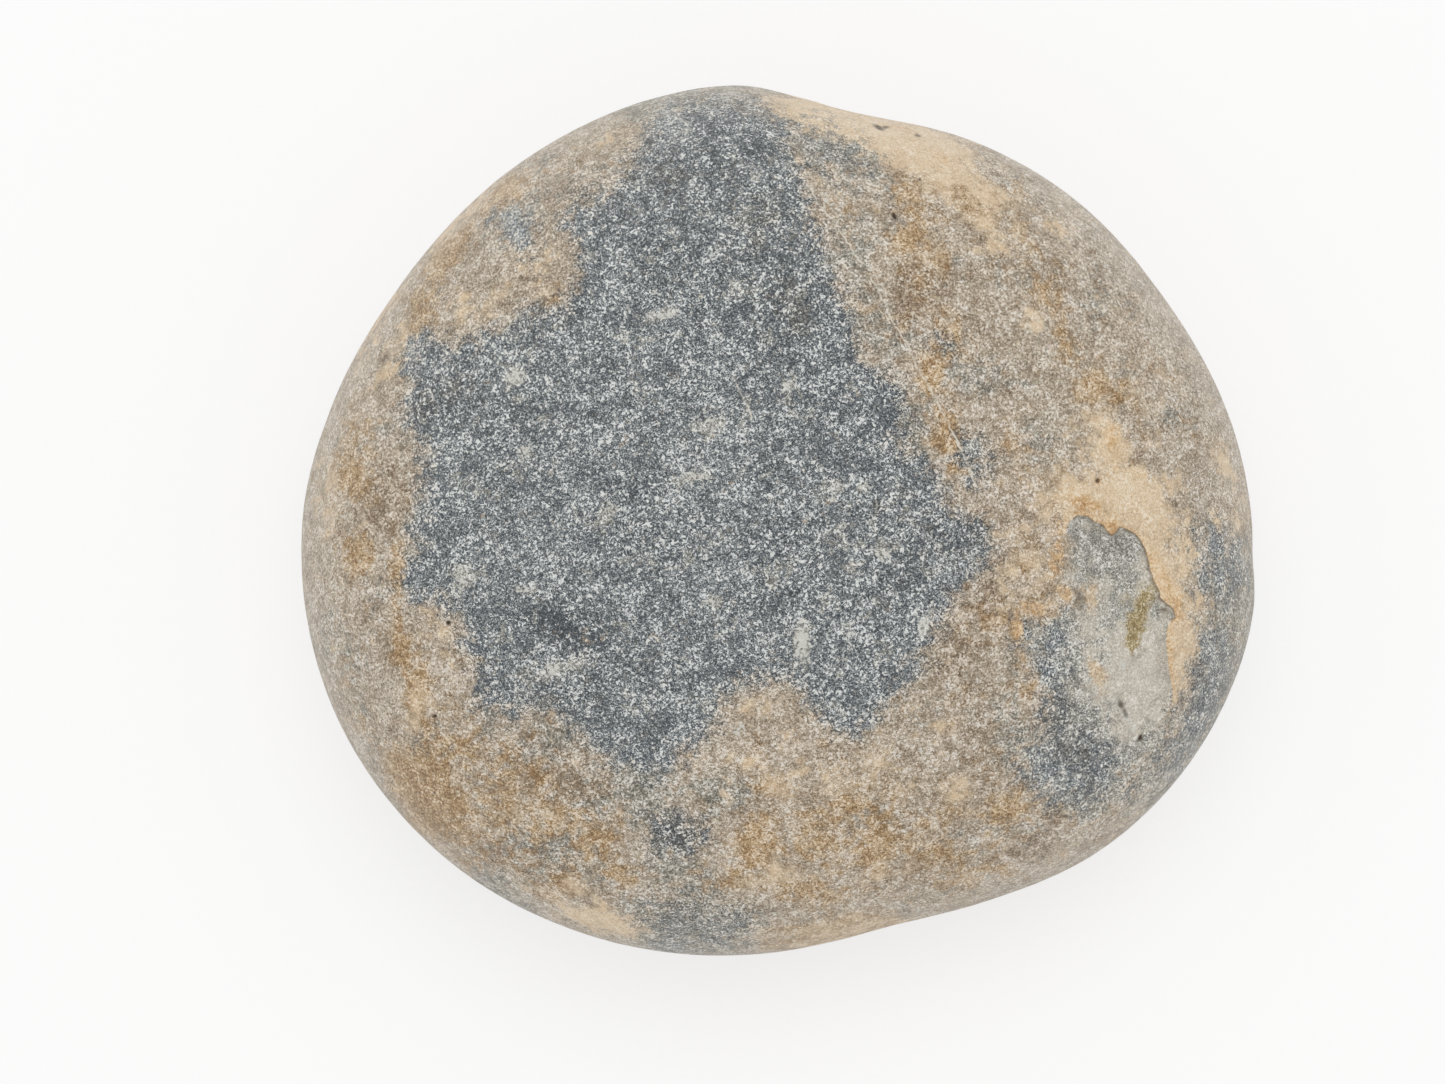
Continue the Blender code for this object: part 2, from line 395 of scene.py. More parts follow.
class Mark(Enum):
    """Marks that the mesh carries as one number at each vertex."""

    CORE = "core"          # how far inside the worn windows of blue-grey core, in soft edges
    THIN = "thin"          # rind so thin that the core greys it
    DARK = "dark"          # darker stretches of the core, and below 0 its lighter ones
    ASH = "ash"            # where the core is ash grey rather than blue-grey
    BROWN = "brown"        # darker stretches of the rind
    SCAR = "scar"          # signed distance to the scar's outline, in mm
    LEDGE = "ledge"        # distance to the scar's ledge, in mm
    SEAM = "ledge_shadow"          # distance to the ledge's sharp part, in mm
    OCHRE = "ochre"        # strength of the ochre stains
    CREAM = "cream"        # strength of the cream stains
    BAND = "band"          # how far inside the cream band beside the ledge, in soft edges
    OLIVE = "olive"        # strength of the olive streaks on the scar
    BLOB = "blob"          # strength of the cream blobs on the scar
    ORANGE = "orange"      # strength of the orange stains by the ledge
    CORNER_SHADE = "corner_shade"        # strength of the painted shade in the scar's corners and the notch under the ledge, partly a dark patch
    PALE = "pale"          # strength of the pale clusters of flecks
    VEIN = "vein"          # distance to the pale hairline veins, in mm
    ACROSS = "across"      # signed distance to the line of the nearest vein, in mm
    PIT = "pit"            # 1 in the single pits
    WORN = "worn"          # 1 on the shown crown, 0 where the skin is left to chance
    PECK = "peck"          # 1 in the small scattered pecks


class Cloud(Enum):
    """Slow noise about zero that the mesh carries as one number at each vertex.

    Each has the name of its attribute and the size of its grains, in mm.
    """

    CHANCE = ("chance_cloud", 17.0)
    CORE_EDGE = ("core_edge_cloud", 3.6)
    CLUSTER = ("cluster_cloud", 2.6)
    SPECKLE = ("speckle_cloud", 3.2)
    BROWN = ("brown_cloud", 3.4)
    THIN = ("thin_cloud", 5.0)
    OCHRE = ("ochre_cloud", 4.2)
    CREAM = ("cream_cloud", 2.8)
    SCAR = ("scar_cloud", 2.6)

    def __init__(self, title: str, size: float) -> None:
        """Keep the attribute's name and the size of the grains."""
        self.title = title
        self.size = size


@dataclass(frozen=True)
class Window:
    """A closed outline on the plan and how soft its edge is.

    Attributes:
        outline: The outline's corners, in mm.
        fade: Half the width of the soft edge, in mm.
    """

    outline: Path
    fade: float = 1.0

    def edge(self, x: np.ndarray, y: np.ndarray) -> np.ndarray:
        """Distance inside the outline at points of the plan, 1 where the soft edge ends."""
        return signed_edge(x, y, self.outline) / self.fade


@dataclass
class SkinMarks:
    """Outlines and spots of the skin's marks on the unrolled plan, in mm."""

    core_windows: tuple[Window, ...] = (
        Window((    # the large window over the crown
            (-12.6, 42), (-14.5, 37), (-16.5, 33.8), (-21.5, 31.6), (-22, 29.6), (-20.4, 27.2),
            (-20.2, 24), (-21.6, 21.2), (-26, 20.6), (-29, 18.8), (-33.2, 17.4), (-35.4, 19),
            (-37.6, 18.2), (-38.3, 15.2), (-37.8, 10.4), (-36.9, 8.7), (-35.8, 7), (-36.6, 3),
            (-36.9, -2.6), (-38.1, -6), (-37.4, -8.2), (-33.4, -8.6), (-32, -10.4), (-30.8, -13.8),
            (-29.7, -18.4), (-26.8, -19.4), (-24, -18.8), (-21, -20.2), (-19.2, -22.2),
            (-17.2, -24.6), (-13.8, -25.8), (-10.6, -24.8), (-9.2, -22.6), (-7, -21.6),
            (-6.3, -19.2), (-4.8, -17), (-2.6, -16.2), (0.8, -16.6), (2.8, -18.4), (4.2, -20.8),
            (7, -21.6), (9.2, -20), (10.6, -17.8), (12.6, -15.8), (14.6, -12.6), (16.6, -8.8),
            (19, -5.6), (21.2, -2.8), (19.6, -0.2), (17.2, 1.8), (15, 4.4), (12.4, 7.4),
            (12.8, 10.8), (12, 13.8), (8.6, 16), (6.6, 18.8), (6.4, 22), (4.8, 25.6), (3.6, 28.4),
            (2.9, 32), (1.8, 35.5), (0.4, 40), (-3, 42.6), (-8, 43.2))),
        Window((    # dark ground of the scar and below it
            (24, -9.8), (24.7, -10.9), (26.3, -11.4), (27.5, -9.9), (28.6, -9.6), (28.9, -12.1),
            (28.2, -15.1), (28.5, -18.1), (29.8, -20.5), (32.6, -22.3), (34.4, -24.6),
            (34.6, -27.6), (31.8, -28.5), (27.7, -28), (25.2, -25.7), (24.9, -23.3), (26.9, -21.6),
            (27.2, -18.1), (26, -14.6), (24.8, -12.4)), 1.5),
        Window(((43.7, -1.8), (45.8, -1.2), (47.3, -5), (45.7, -8.4), (43.6, -6.5)), 1.6),
        Window(((43.1, -12.6), (45.8, -12.2), (46.6, -18.6), (43.9, -24), (40.3, -26),
                (41.4, -21)), 1.8),
        Window(((-13, -39.4), (-9.4, -38.6), (-8, -40.6), (-3.5, -40.8), (-5.2, -43.4),
                (-8.4, -43), (-10.6, -45.4), (-13.4, -42.4)), 1.6),
        Window(((-13.2, -30.2), (-11, -29.3), (-8.4, -30.4), (-7.4, -32.2), (-9.6, -34),
                (-12.9, -33)), 0.9),
        Window(((2.4, 39.6), (5, 39.4), (7.6, 38), (8, 36.6), (5, 36.2), (3, 36.8)), 1.8),
        Window(((-28.6, 31.4), (-26.6, 31.2), (-25.3, 29.6), (-25.3, 28.1), (-26.6, 27.9),
                (-28.1, 29.7)), 1.3),
        Window(((17.9, 8.1), (19.2, 8), (20.2, 6.3), (19.7, 4.3), (18.7, 4), (18.1, 5.8)), 1.2),
        Window(((15.8, 18.1), (16.8, 18.1), (16.8, 17), (16, 16.9)), 0.8),
    )
    thin_windows: tuple[Window, ...] = (
        Window((    # along the right rim
            (43.3, -0.8), (44.9, 0.5), (46.8, -2.4), (48.9, -1.6), (50, -6.2), (52.6, -8.4),
            (52.4, -13.6), (55.2, -17), (50.6, -19.4), (51.4, -23.4), (47.7, -26), (45.6, -31.4),
            (39.5, -32.1), (36.5, -28), (40, -23), (42.3, -18.1), (43.3, -13.4), (43.4, -9.3),
            (42.5, -5.2)), 2.2),
        Window((    # on the near rim
            (-14.1, -39.1), (-12.5, -37.7), (-9, -38.1), (-6, -39.4), (-1.5, -40), (-2.4, -43.2),
            (-5.6, -44.8), (-5.8, -47.8), (-9.4, -46.8), (-12.2, -49.6), (-13.8, -45.6),
            (-16.6, -43.8)), 1.6),
        Window(((-30.7, -35.7), (-28.4, -36), (-25.9, -38.1), (-24.4, -39.5), (-26.4, -41.2),
                (-29.8, -40.6), (-33.8, -41.4), (-33.5, -38.5)), 1.4),
        Window(((-16, 41), (-8, 42.5), (-2, 41), (-0.5, 43.5), (-3, 51), (-12, 52), (-18, 46)), 2.0),
        Window(((1.5, 40.3), (5.5, 39.9), (8.4, 38.2), (9.4, 36.4), (7, 35.8), (2.5, 36.6)), 1.1),
        Window(((9, 36.6), (11.6, 35.2), (12.2, 31.3), (10.9, 31.2), (9.9, 33.6)), 1.0),
    )
    thin_rind: tuple[Spot, ...] = spots(
        (7, 31, 3.5, 6, 5, 0.9), (8.5, 24, 3, 4, 0, 0.45), (10, 18.5, 3, 3, 0, 0.8),
        (13.5, 10, 1.8, 4, 0, 0.7), (3, 38, 4, 2.5, -20, 1), (9.5, 35.5, 1.8, 3, 20, 1),
        (20, 14.5, 3.5, 3, 0, 0.6), (21, 23.5, 3, 3.5, 0, 0.35), (33, 25, 4, 5, 30, 0.2),
        (26, 8, 3, 4, 0, 0.7), (41.5, 4.5, 2, 4.5, 0, 0.35), (39, 10, 3, 3, 0, 0.8),
        (-26.5, 30, 3, 2.5, 0, 0.8), (-22, 35.5, 3, 2, 0, 0.5), (-23, -22.5, 6, 3, -10, 0.9),
        (-16, -27, 3, 2.5, 0, 0.7), (-10.5, -26.5, 4, 2.5, 0, 0.8), (-10, -36, 5, 3, 0, 0.9),
        (31, -29, 5, 2.5, 15, 0.9), (37, -27.5, 3, 4, -45, 1), (23, -20.5, 2.2, 5, 0, 0.8),
        (16, -19, 3, 2.5, 0, 0.5), (-43.5, -14, 3, 6, 20, 0.3), (-17.5, -28.5, 5, 3, 0, 0.8),
        (-22, -34, 6, 3, -10, 0.8), (39.8, -21.6, 2.4, 3, -30, 0.8), (-20, -26.5, 5, 2.6, -10, 0.8),
        (-14, -27.2, 3.4, 2.8, 0, 1.9), (-6.9, -27, 3, 2.4, 0, 1), (-13.6, -40.2, 2.8, 1.8, 0, 1.5))
    dark_core: tuple[Spot, ...] = spots(
        (-12, 33.5, 5, 2.5, 30, 0.2), (-3, 37, 3, 2, 0, 1.2), (5, 37.8, 2.5, 1.4, -20, 0.8),
        (-11.5, 27, 3, 2, 0, 0.6), (-20.5, 22, 1.8, 2.5, 0, 0.7), (-35, 11.5, 3.5, 2.5, 0, 0.8),
        (-26, 11, 3, 2, 30, 0.6), (-21.5, -10.5, 4, 2, -20, 1.8), (-0.6, 21.8, 4.2, 4, 0, 1.05),
        (7, 13, 3.5, 3.5, 0, 0.35), (-1, -7.5, 3.5, 3.5, 0, 0.45), (10.5, 9, 3, 4, 0, 0.5),
        (2, -3, 3, 2, 0, 0.5), (17.5, -1.5, 3.5, 2, 20, 0.6), (12, -5.5, 4, 2, 0, 0.5),
        (30.5, -25.5, 3.5, 2.4, 10, 0.35), (28, -21, 1.6, 3, 0, 0.6), (44.6, -11, 1.5, 2.5, 0, 0.3),
        (43.8, -19, 2.2, 5, -20, 1.2), (-11.5, -39.3, 2.2, 1.4, 0, 0.5),
        (-10.2, -31.2, 2.4, 1.8, 0, 1.6), (-1, 31, 3.5, 3.5, 0, 0.3), (7.5, -7.5, 3, 3, 0, 0.3),
        (-6.9, 36.2, 3.2, 3.2, 0, 0.8), (-14.2, 1.2, 3.6, 3.4, 0, 0.75))
    light_core: tuple[Spot, ...] = spots(
        (-8, 5, 4.5, 4, 0, 0.65), (26.5, -12.5, 2.5, 2.5, 0, 0.8), (-24, -4, 6, 4, 0, 0.3),
        (-20, 6, 8, 6, 0, 0.3), (-27, 30, 2.5, 2.5, 0, 1.4), (-8.5, -41, 4, 2, 0, 0.4),
        (-15, -22.5, 3, 3, 0, 0.25), (44.8, -11.6, 2.6, 3.6, 0, 1.1),
        (28.2, -26.8, 2.6, 2, 0, 0.85), (44.8, -5, 2, 4, 0, 0.3), (-6.9, -5.9, 3.4, 3.2, 0, 0.75),
        (18.4, -5.2, 2.6, 2.2, 0, 0.9))
    ash_core: tuple[Spot, ...] = spots(
        (44, -9, 5, 22, 8, 0.3), (29.5, -20, 5, 6, 0, 0.8), (-8, -40, 9, 4, 0, 1.2),
        (-10, -31.5, 3.5, 2.5, 0, 0.7), (5, 38, 5, 2.5, -20, 1), (19, 6.3, 2, 3, 0, 0.7),
        (16, 17.5, 1.6, 1.8, 0, 0.7), (-3, 29, 5, 4, 0, 0.7), (1, 21.5, 3, 4, 0, 0.7),
        (15.5, -2.5, 5, 3.5, 0, 0.6), (-12, 34.5, 5, 2.5, 20, 0.6), (-21, 21.5, 2.2, 3, 0, 0.6),
        (-33, 13.5, 4, 3, 0, 0.5), (-24, -16, 5, 3, 0, 0.5))
    brown_rind: tuple[Spot, ...] = spots(
        (-40, 2, 2.5, 3.4, 0, 1.7), (-39.5, -13, 2, 4, 10, 0.5), (-21, -25.5, 8, 3.5, -15, 1.1),
        (-28.5, -34.5, 5, 2.5, -30, 1), (-20, -35.5, 5, 2.6, -5, 1), (-18, -30.5, 4, 2.5, 10, 0.7),
        (13.7, 22, 2.8, 3.6, 0, 2), (13, 27, 1.5, 3, 0, 0.3), (21, 26.5, 3, 4, 0, 0.4),
        (28, 23.5, 1.6, 3, 20, 0.7), (20, -8, 2.4, 2.6, 0, 1.3), (17, -13.5, 2.8, 3.2, 0, 1.1),
        (20.5, -15.5, 2.5, 3, 0, 0.7), (19.5, -23.5, 4, 4, 0, 0.8), (14, -35, 6, 1.3, 15, 1),
        (10, -30.5, 4, 2, 0, 0.6), (26, -33.5, 5, 2.5, 15, 1), (28.6, -30.4, 3.5, 1.1, 12, 1.2),
        (-6, -27.5, 3, 3, 0, 0.6), (33.1, -0.9, 0.9, 0.9, 0, 0.7), (27.8, -3.4, 1.2, 3, 0, 0.4),
        (39.5, -9.8, 0.8, 0.8, 0, 1.6), (30.4, 1.6, 2.2, 1, -10, 1.4), (25.6, -9.2, 2.4, 1, 0, 0.2),
        (20, 19, 3, 3, 0, 0.5), (-35.3, -28, 3.2, 5.5, 8, 1.1), (-39.8, 2, 2, 3, 0, 1.2),
        (31.8, 3.9, 0.4, 0.35, 0, 2), (-28, -36.5, 5, 2, -30, 0.5), (41.2, 1.6, 1, 1.4, 0, 0.7))
    ochre_stains: tuple[Spot, ...] = spots(
        (16, 35, 5, 2.4, -30, 1.2), (19.5, 32.3, 2.6, 2.2, 0, 1.2), (12.5, 33.5, 2, 3.2, -15, 0.8),
        (13.6, 28.5, 2.6, 3.6, -12, 1.2), (16, 26.4, 1.8, 2.4, 0, 1.1), (14.4, 24, 2, 2.4, 0, 0.6),
        (16.4, 19.4, 2, 2.6, 0, 0.8), (14.9, 14.5, 1.5, 3.6, 0, 1.1), (16.7, 9.3, 1.6, 4, 8, 1.2),
        (17.6, 5.4, 1.6, 1.3, 0, 1.2), (24.5, 32, 1.5, 4.6, 0, 0.7), (25, 27.3, 1.6, 2.4, 0, 0.8),
        (26.8, 22.5, 1.4, 2.6, 35, 0.9), (28.8, 18.3, 1.3, 3.2, 20, 0.9),
        (31.5, 13.4, 2.6, 1.8, 0, 0.9), (34.6, 12.4, 2.2, 1.8, 0, 0.8), (23, 7.8, 1.5, 1.8, 0, 0.6),
        (24.5, -3, 2.6, 4.2, 0, 0.7), (21.5, -11.3, 1.5, 2.6, -20, 0.8),
        (23.4, -12.2, 1.4, 3.2, 8, 0.7), (24.2, -17.3, 1.3, 2.2, 0, 0.6), (27, 1, 1.6, 1.2, 0, 0.6),
        (-38.6, -5, 1.1, 5, 0, 1.3), (-42.5, -3.4, 2.6, 2.4, 0, 1.1), (-43.4, 5, 2.3, 3.6, 0, 1.2),
        (-42, 10.5, 2.2, 3, 0, 0.7), (-38.4, -12.5, 1.1, 4.2, 12, 1.1),
        (-36.6, -17.6, 1.8, 3.4, 5, 1.2), (-35, -22, 3, 3.4, 0, 1.2), (-35.8, -27.6, 3.8, 5, 10, 2),
        (-29, -28, 10, 6, -20, 0.7), (-31.5, -22.8, 3.2, 2.8, 0, 1),
        (-27.2, -27.6, 4.6, 2.6, -15, 0.6), (-33, -31.8, 4.2, 2.2, -40, 1.2),
        (-24, -31.2, 3.2, 2.6, 0, 1), (-19, -33, 4.2, 2.4, 10, 1), (-16, -36, 2.4, 1.5, 0, 0.9),
        (-22, -37.2, 3.2, 2, 10, 1), (-28.4, 33.4, 3, 1.5, 35, 1.7), (-34.2, 27, 3.8, 2, 48, 1.5),
        (-36.6, 22.4, 1.7, 3, 0, 1.2), (-22.4, 22.2, 1.5, 1.8, 0, 0.4), (-2.5, -32, 3.2, 3, 0, 1.3),
        (-5, -36.6, 4, 1.8, 0, 1.1), (4, -32, 5, 3.4, 0, 1.1), (8, -31, 14, 7, 8, 0.55),
        (10.5, -33.2, 3.6, 3, 0, 1.3), (7, -28.6, 5, 2.4, 0, 0.7), (22, -30, 3, 2.6, 0, 1.3),
        (15.5, -33.8, 4, 2, 0, 0.8), (5, -38, 6, 2, 0, 0.8), (-1, -26.2, 3.2, 2, 0, 0.7),
        (22.6, -36, 2.2, 1.5, 0, 0.7), (8, -42.5, 8, 2.4, 4, 1.5), (18.5, -37, 4, 2, 0, 0.7))
    cream_stains: tuple[Spot, ...] = spots(
        (10, 39.8, 8, 2.8, -16, 1.9), (4.5, 42, 5, 2.4, -14, 1.8), (15.3, 37.4, 6, 3.2, -32, 1.9),
        (20.5, 33.8, 3.4, 2.2, -40, 1), (19, 32.8, 2.8, 2.2, 0, 0.7),
        (25.5, 19.8, 2.2, 1.6, -30, 0.8), (33, 7, 3, 4.2, 10, 1), (35, 2.6, 5, 3, -20, 1.5),
        (29.6, 3, 2.6, 2.8, 0, 1.1), (39, 3.4, 2, 2, 0, 0.6), (25.8, 1.4, 2, 2, 0, 0.7),
        (24, -5, 4.4, 5, 0, 0.6), (22.5, -1, 2.5, 2, 0, 0.5), (45.8, 5.6, 1.8, 3.4, 35, 0.65),
        (47.2, 0.8, 1.2, 3.4, 5, 0.8), (44.8, -0.6, 0.7, 2.2, 25, 1.2),
        (42, -8.4, 1.6, 1.2, 0, 0.9), (36.4, -15.5, 3.6, 4.8, 0, 1.9),
        (31.4, -11.4, 2.4, 3, 0, 0.55), (33.4, -19, 1.6, 1.6, 0, 0.5), (32, -15.6, 0.8, 1.4, 30, 1),
        (38.3, -5.4, 1.5, 3.4, 25, 1.9), (40.2, -13, 1.4, 4, 0, 0.9), (38, 0.8, 3, 2.6, 0, 1),
        (-29.5, 21.6, 4, 2, 10, 0.5), (-24.2, 25.4, 2.5, 3.4, 0, 0.25),
        (-39.2, 16.6, 1.8, 3.6, -20, 0.75), (-17, 38.5, 3, 1.5, 20, 0.7),
        (-42, 21, 2.5, 6, -30, 0.7), (-33, 32, 5, 2, 45, 0.9), (-34.3, -11.8, 2, 3.2, 25, 0.6),
        (-36.6, -18.6, 1.4, 2.4, 0, 0.8), (-18, -41, 5.4, 1.8, -20, 1.2),
        (-20.5, -38, 2.4, 1.4, 0, 0.7), (-2.5, -19.6, 4, 3.2, 0, 0.55), (-3, -24, 4, 3, 0, 0.5),
        (2.5, -25.8, 6, 3.2, 10, 0.5), (12.5, -23.8, 5, 3.6, 0, 0.4), (16, -20.6, 1.6, 1.2, 0, 0.7),
        (17.5, -27.5, 3.5, 2, 0, 0.7), (9, -36, 3, 1, 0, 0.6), (-1, -36, 3, 2, 0, 0.8),
        (8, -43, 9, 2.2, 5, 0.8), (27.6, 30.5, 3, 3, 0, 0.4), (38.5, 12, 3, 3, 0, 0.4),
        (-46.5, 3, 2, 6, 0, 0.5), (34, -24, 1.6, 2.2, -40, 0.5), (4.8, 31.8, 1.7, 1.4, -20, 0.45),
        (41.4, -2.4, 1.5, 4, 0, 0.9), (42.4, 2, 1.4, 2, 0, 0.3), (-35.4, -9.5, 1.1, 0.45, -40, 1.2),
        (-33.4, -10.6, 0.7, 0.7, 0, 0.8), (21, 29.4, 3.4, 3, -20, 0.75))
    cream_band: Window = Window((
        (28, -1), (29, 2.5), (31.8, 4.8), (37.1, 4.5), (39.6, 0.5), (39.6, -3.1), (40.2, -6.2),
        (41.6, -9.2), (42.4, -13.3), (41.5, -16.3), (40.3, -18.6), (38, -12), (34, -3)), 1.2)
    olive_streaks: tuple[Spot, ...] = spots(
        (36.8, -8.2, 2, 1.2, 60, 1.1), (36, -10.4, 1.9, 1.05, 75, 1.5),
        (35.6, -12.1, 1.2, 0.75, 82, 2), (35, -7.8, 1, 0.5, 60, 0.7),
        (34.6, -10.3, 1, 0.5, 75, 0.5))
    scar_blobs: tuple[Spot, ...] = spots(
        (31.1, -7.8, 1.5, 0.9, -75, 1.2), (30.3, -6.9, 0.8, 0.5, 0, 0.8),
        (31.9, -15.5, 1.8, 0.8, -62, 1.3))
    orange_stains: tuple[Spot, ...] = spots(
        (38.5, -5.8, 3, 0.9, -64, 1.4), (39.5, -8.2, 1.5, 1.3, -40, 2),
        (40.4, -9.4, 0.8, 1.2, 0, 1.2), (39.6, -13, 0.7, 3.4, 5, 1), (30.6, 1.5, 2.4, 1, -20, 1.2),
        (33.1, -0.8, 0.9, 1, 0, 1.4), (33.2, 8.4, 1.4, 1.8, 0, 1), (33.6, 5.6, 1.2, 1.2, 0, 0.6),
        (27.6, -3.2, 1.2, 3.4, -4, 0.8), (28.4, -7.4, 1.2, 1.2, 0, 1),
        (25.4, -9, 2.8, 1.1, 10, 0.8), (23.7, -10.5, 0.9, 1.6, 0, 0.9),
        (24.3, -14.6, 0.6, 2.2, 12, 0.5), (36, 4.8, 1.6, 0.8, -30, 0.6),
        (31.8, 3.9, 0.5, 0.4, 0, 1), (13.8, 38.4, 1.9, 0.6, -28, 0.6),
        (11.8, 40.4, 2.2, 0.5, -18, 0.5), (16.6, 36.9, 2.4, 0.7, -20, 0.6))
    # Painted shade in the scar's corners and in the notch under the ledge, partly a dark patch of
    # the stone.
    corner_shade: tuple[Spot, ...] = spots(
        (29.7, -8, 0.9, 1.1, 0, 1.1), (38.8, -9.3, 1.2, 0.5, -35, 0.7),
        (37.8, -8, 0.5, 0.9, 0, 0.5), (36.2, -13.6, 1.4, 0.6, 40, 0.6),
        (29.2, -2.6, 0.7, 1.2, 0, 0.6), (26.3, -13.4, 0.8, 1.4, 30, 0.7))
    pale_clusters: tuple[Spot, ...] = spots(
        (-26.6, 14.3, 1.1, 0.9, 0, 1.4), (-11.7, 20.4, 1.7, 0.7, 12, 1.2),
        (5.4, 2.8, 2, 1.2, 20, 0.6), (8.3, 3.2, 0.9, 0.7, 0, 1), (10.1, -3.4, 1, 0.9, 0, 1.2),
        (14.2, -10.4, 1.2, 0.55, 60, 1.4), (2.1, -12, 0.8, 1.8, 0, 1.9), (6.5, -11, 1, 0.8, 0, 0.8),
        (-22.8, -15, 1.4, 0.8, 30, 1.2), (-20.9, -14.5, 1, 0.5, 20, 1),
        (-25.5, 6.8, 0.8, 0.8, 0, 1.1), (-25.8, -7, 1.1, 0.6, 0, 1.1),
        (-31.8, -6, 1.3, 1.6, 0, 0.8), (-8.5, 4.2, 1.8, 0.9, 10, 1), (-7, 9.5, 1.6, 1.2, 0, 0.7),
        (-6.9, -8.2, 0.9, 0.8, 0, 0.9), (-4.2, -20.7, 0.8, 1, 0, 1),
        (34.5, -14.8, 0.45, 0.45, 0, 1.5), (35.3, -20.4, 2.4, 0.5, -58, 1),
        (4.6, 32, 1.6, 0.7, -60, 0.9), (0.5, 13.2, 1.1, 0.8, 0, 0.8), (-17, 1, 1.5, 0.8, 40, 0.6),
        (35.9, -3.4, 0.5, 0.9, 20, 1.2))
    veins: tuple[Path, ...] = (
        ((3.2, 32.9), (3.7, 31.5), (5.2, 29.9), (6.2, 28.4), (7.8, 25.8)),
        ((9.2, 23.6), (10.4, 21.2), (11.2, 19.4), (12.6, 17.4), (13.3, 15.6), (14.8, 13),
         (16.2, 10.4), (17.2, 8.4), (18.4, 5.8), (19.6, 2.8)),
        ((-4.6, 13.9), (-3.2, 10.6)),
        ((38.2, 18), (39.4, 16.8), (39.8, 15.4)),
        ((24.6, 21.4), (26.4, 19.6)),
    )
    dark_pit_depth: float = 0.5
    worn_limit: float = 48.0    # beyond this distance from the middle the marks are left to chance
    worn_fade: float = 6.0

    def measure(self, plan: np.ndarray, form: NoduleForm) -> dict[Mark, np.ndarray]:
        """Work out every mark at points of the unrolled plan.

        Args:
            plan: One point in each row, in mm.
            form: The stone's form, which has the scar and the pits.

        Returns:
            For each mark, one number for each point.
        """
        x, y = plan[:, 0], plan[:, 1]
        core = [window.edge(x, y) for window in self.core_windows]
        thin = [ramp(0.5 + 0.5 * window.edge(x, y)) for window in self.thin_windows]
        veins = [path_sides(x, y, vein) for vein in self.veins]
        vein_gap, vein_side = np.array(veins).transpose(1, 0, 2)
        nearest = vein_gap.argmin(axis=0)
        beyond = (np.hypot(x, y) - self.worn_limit) / self.worn_fade
        return {
            Mark.CORE: np.max(core, axis=0),
            Mark.THIN: np.maximum(strongest(self.thin_rind, x, y), np.max(thin, axis=0)),
            Mark.SCAR: signed_edge(x, y, form.scar),
            Mark.LEDGE: path_distance(x, y, form.scar[:form.ledge_points]),
            Mark.SEAM: path_distance(x, y, form.scar[:form.seam_points]),
            Mark.DARK: strongest(self.dark_core, x, y) - strongest(self.light_core, x, y),
            Mark.ASH: strongest(self.ash_core, x, y),
            Mark.BROWN: strongest(self.brown_rind, x, y),
            Mark.OCHRE: strongest(self.ochre_stains, x, y),
            Mark.CREAM: strongest(self.cream_stains, x, y),
            Mark.BAND: self.cream_band.edge(x, y),
            Mark.OLIVE: strongest(self.olive_streaks, x, y),
            Mark.BLOB: strongest(self.scar_blobs, x, y),
            Mark.ORANGE: strongest(self.orange_stains, x, y),
            Mark.CORNER_SHADE: strongest(self.corner_shade, x, y),
            Mark.PALE: strongest(self.pale_clusters, x, y),
            Mark.VEIN: vein_gap.min(axis=0),
            Mark.ACROSS: np.take_along_axis(vein_side, nearest[None], axis=0)[0],
            Mark.PIT: np.clip(form.pit_depth(x, y) / self.dark_pit_depth, 0.0, 1.0),
            Mark.WORN: 1.0 - ramp(beyond),
        }


# ---- Wiring of nodes -------------------------------------------------------------------------

Wire = bpy.types.NodeSocket
Feed = Wire | float | tuple     # what an input takes: a wire, a number, a vector or a colour


@dataclass(frozen=True)
class Band:
    """A stretch of values that is mapped smoothly to another, and held beyond its ends.

    Attributes:
        low: Where the stretch starts.
        high: Where it ends.
        start: Result at low.
        end: Result at high.
    """

    low: float
    high: float
    start: float = 0.0
    end: float = 1.0


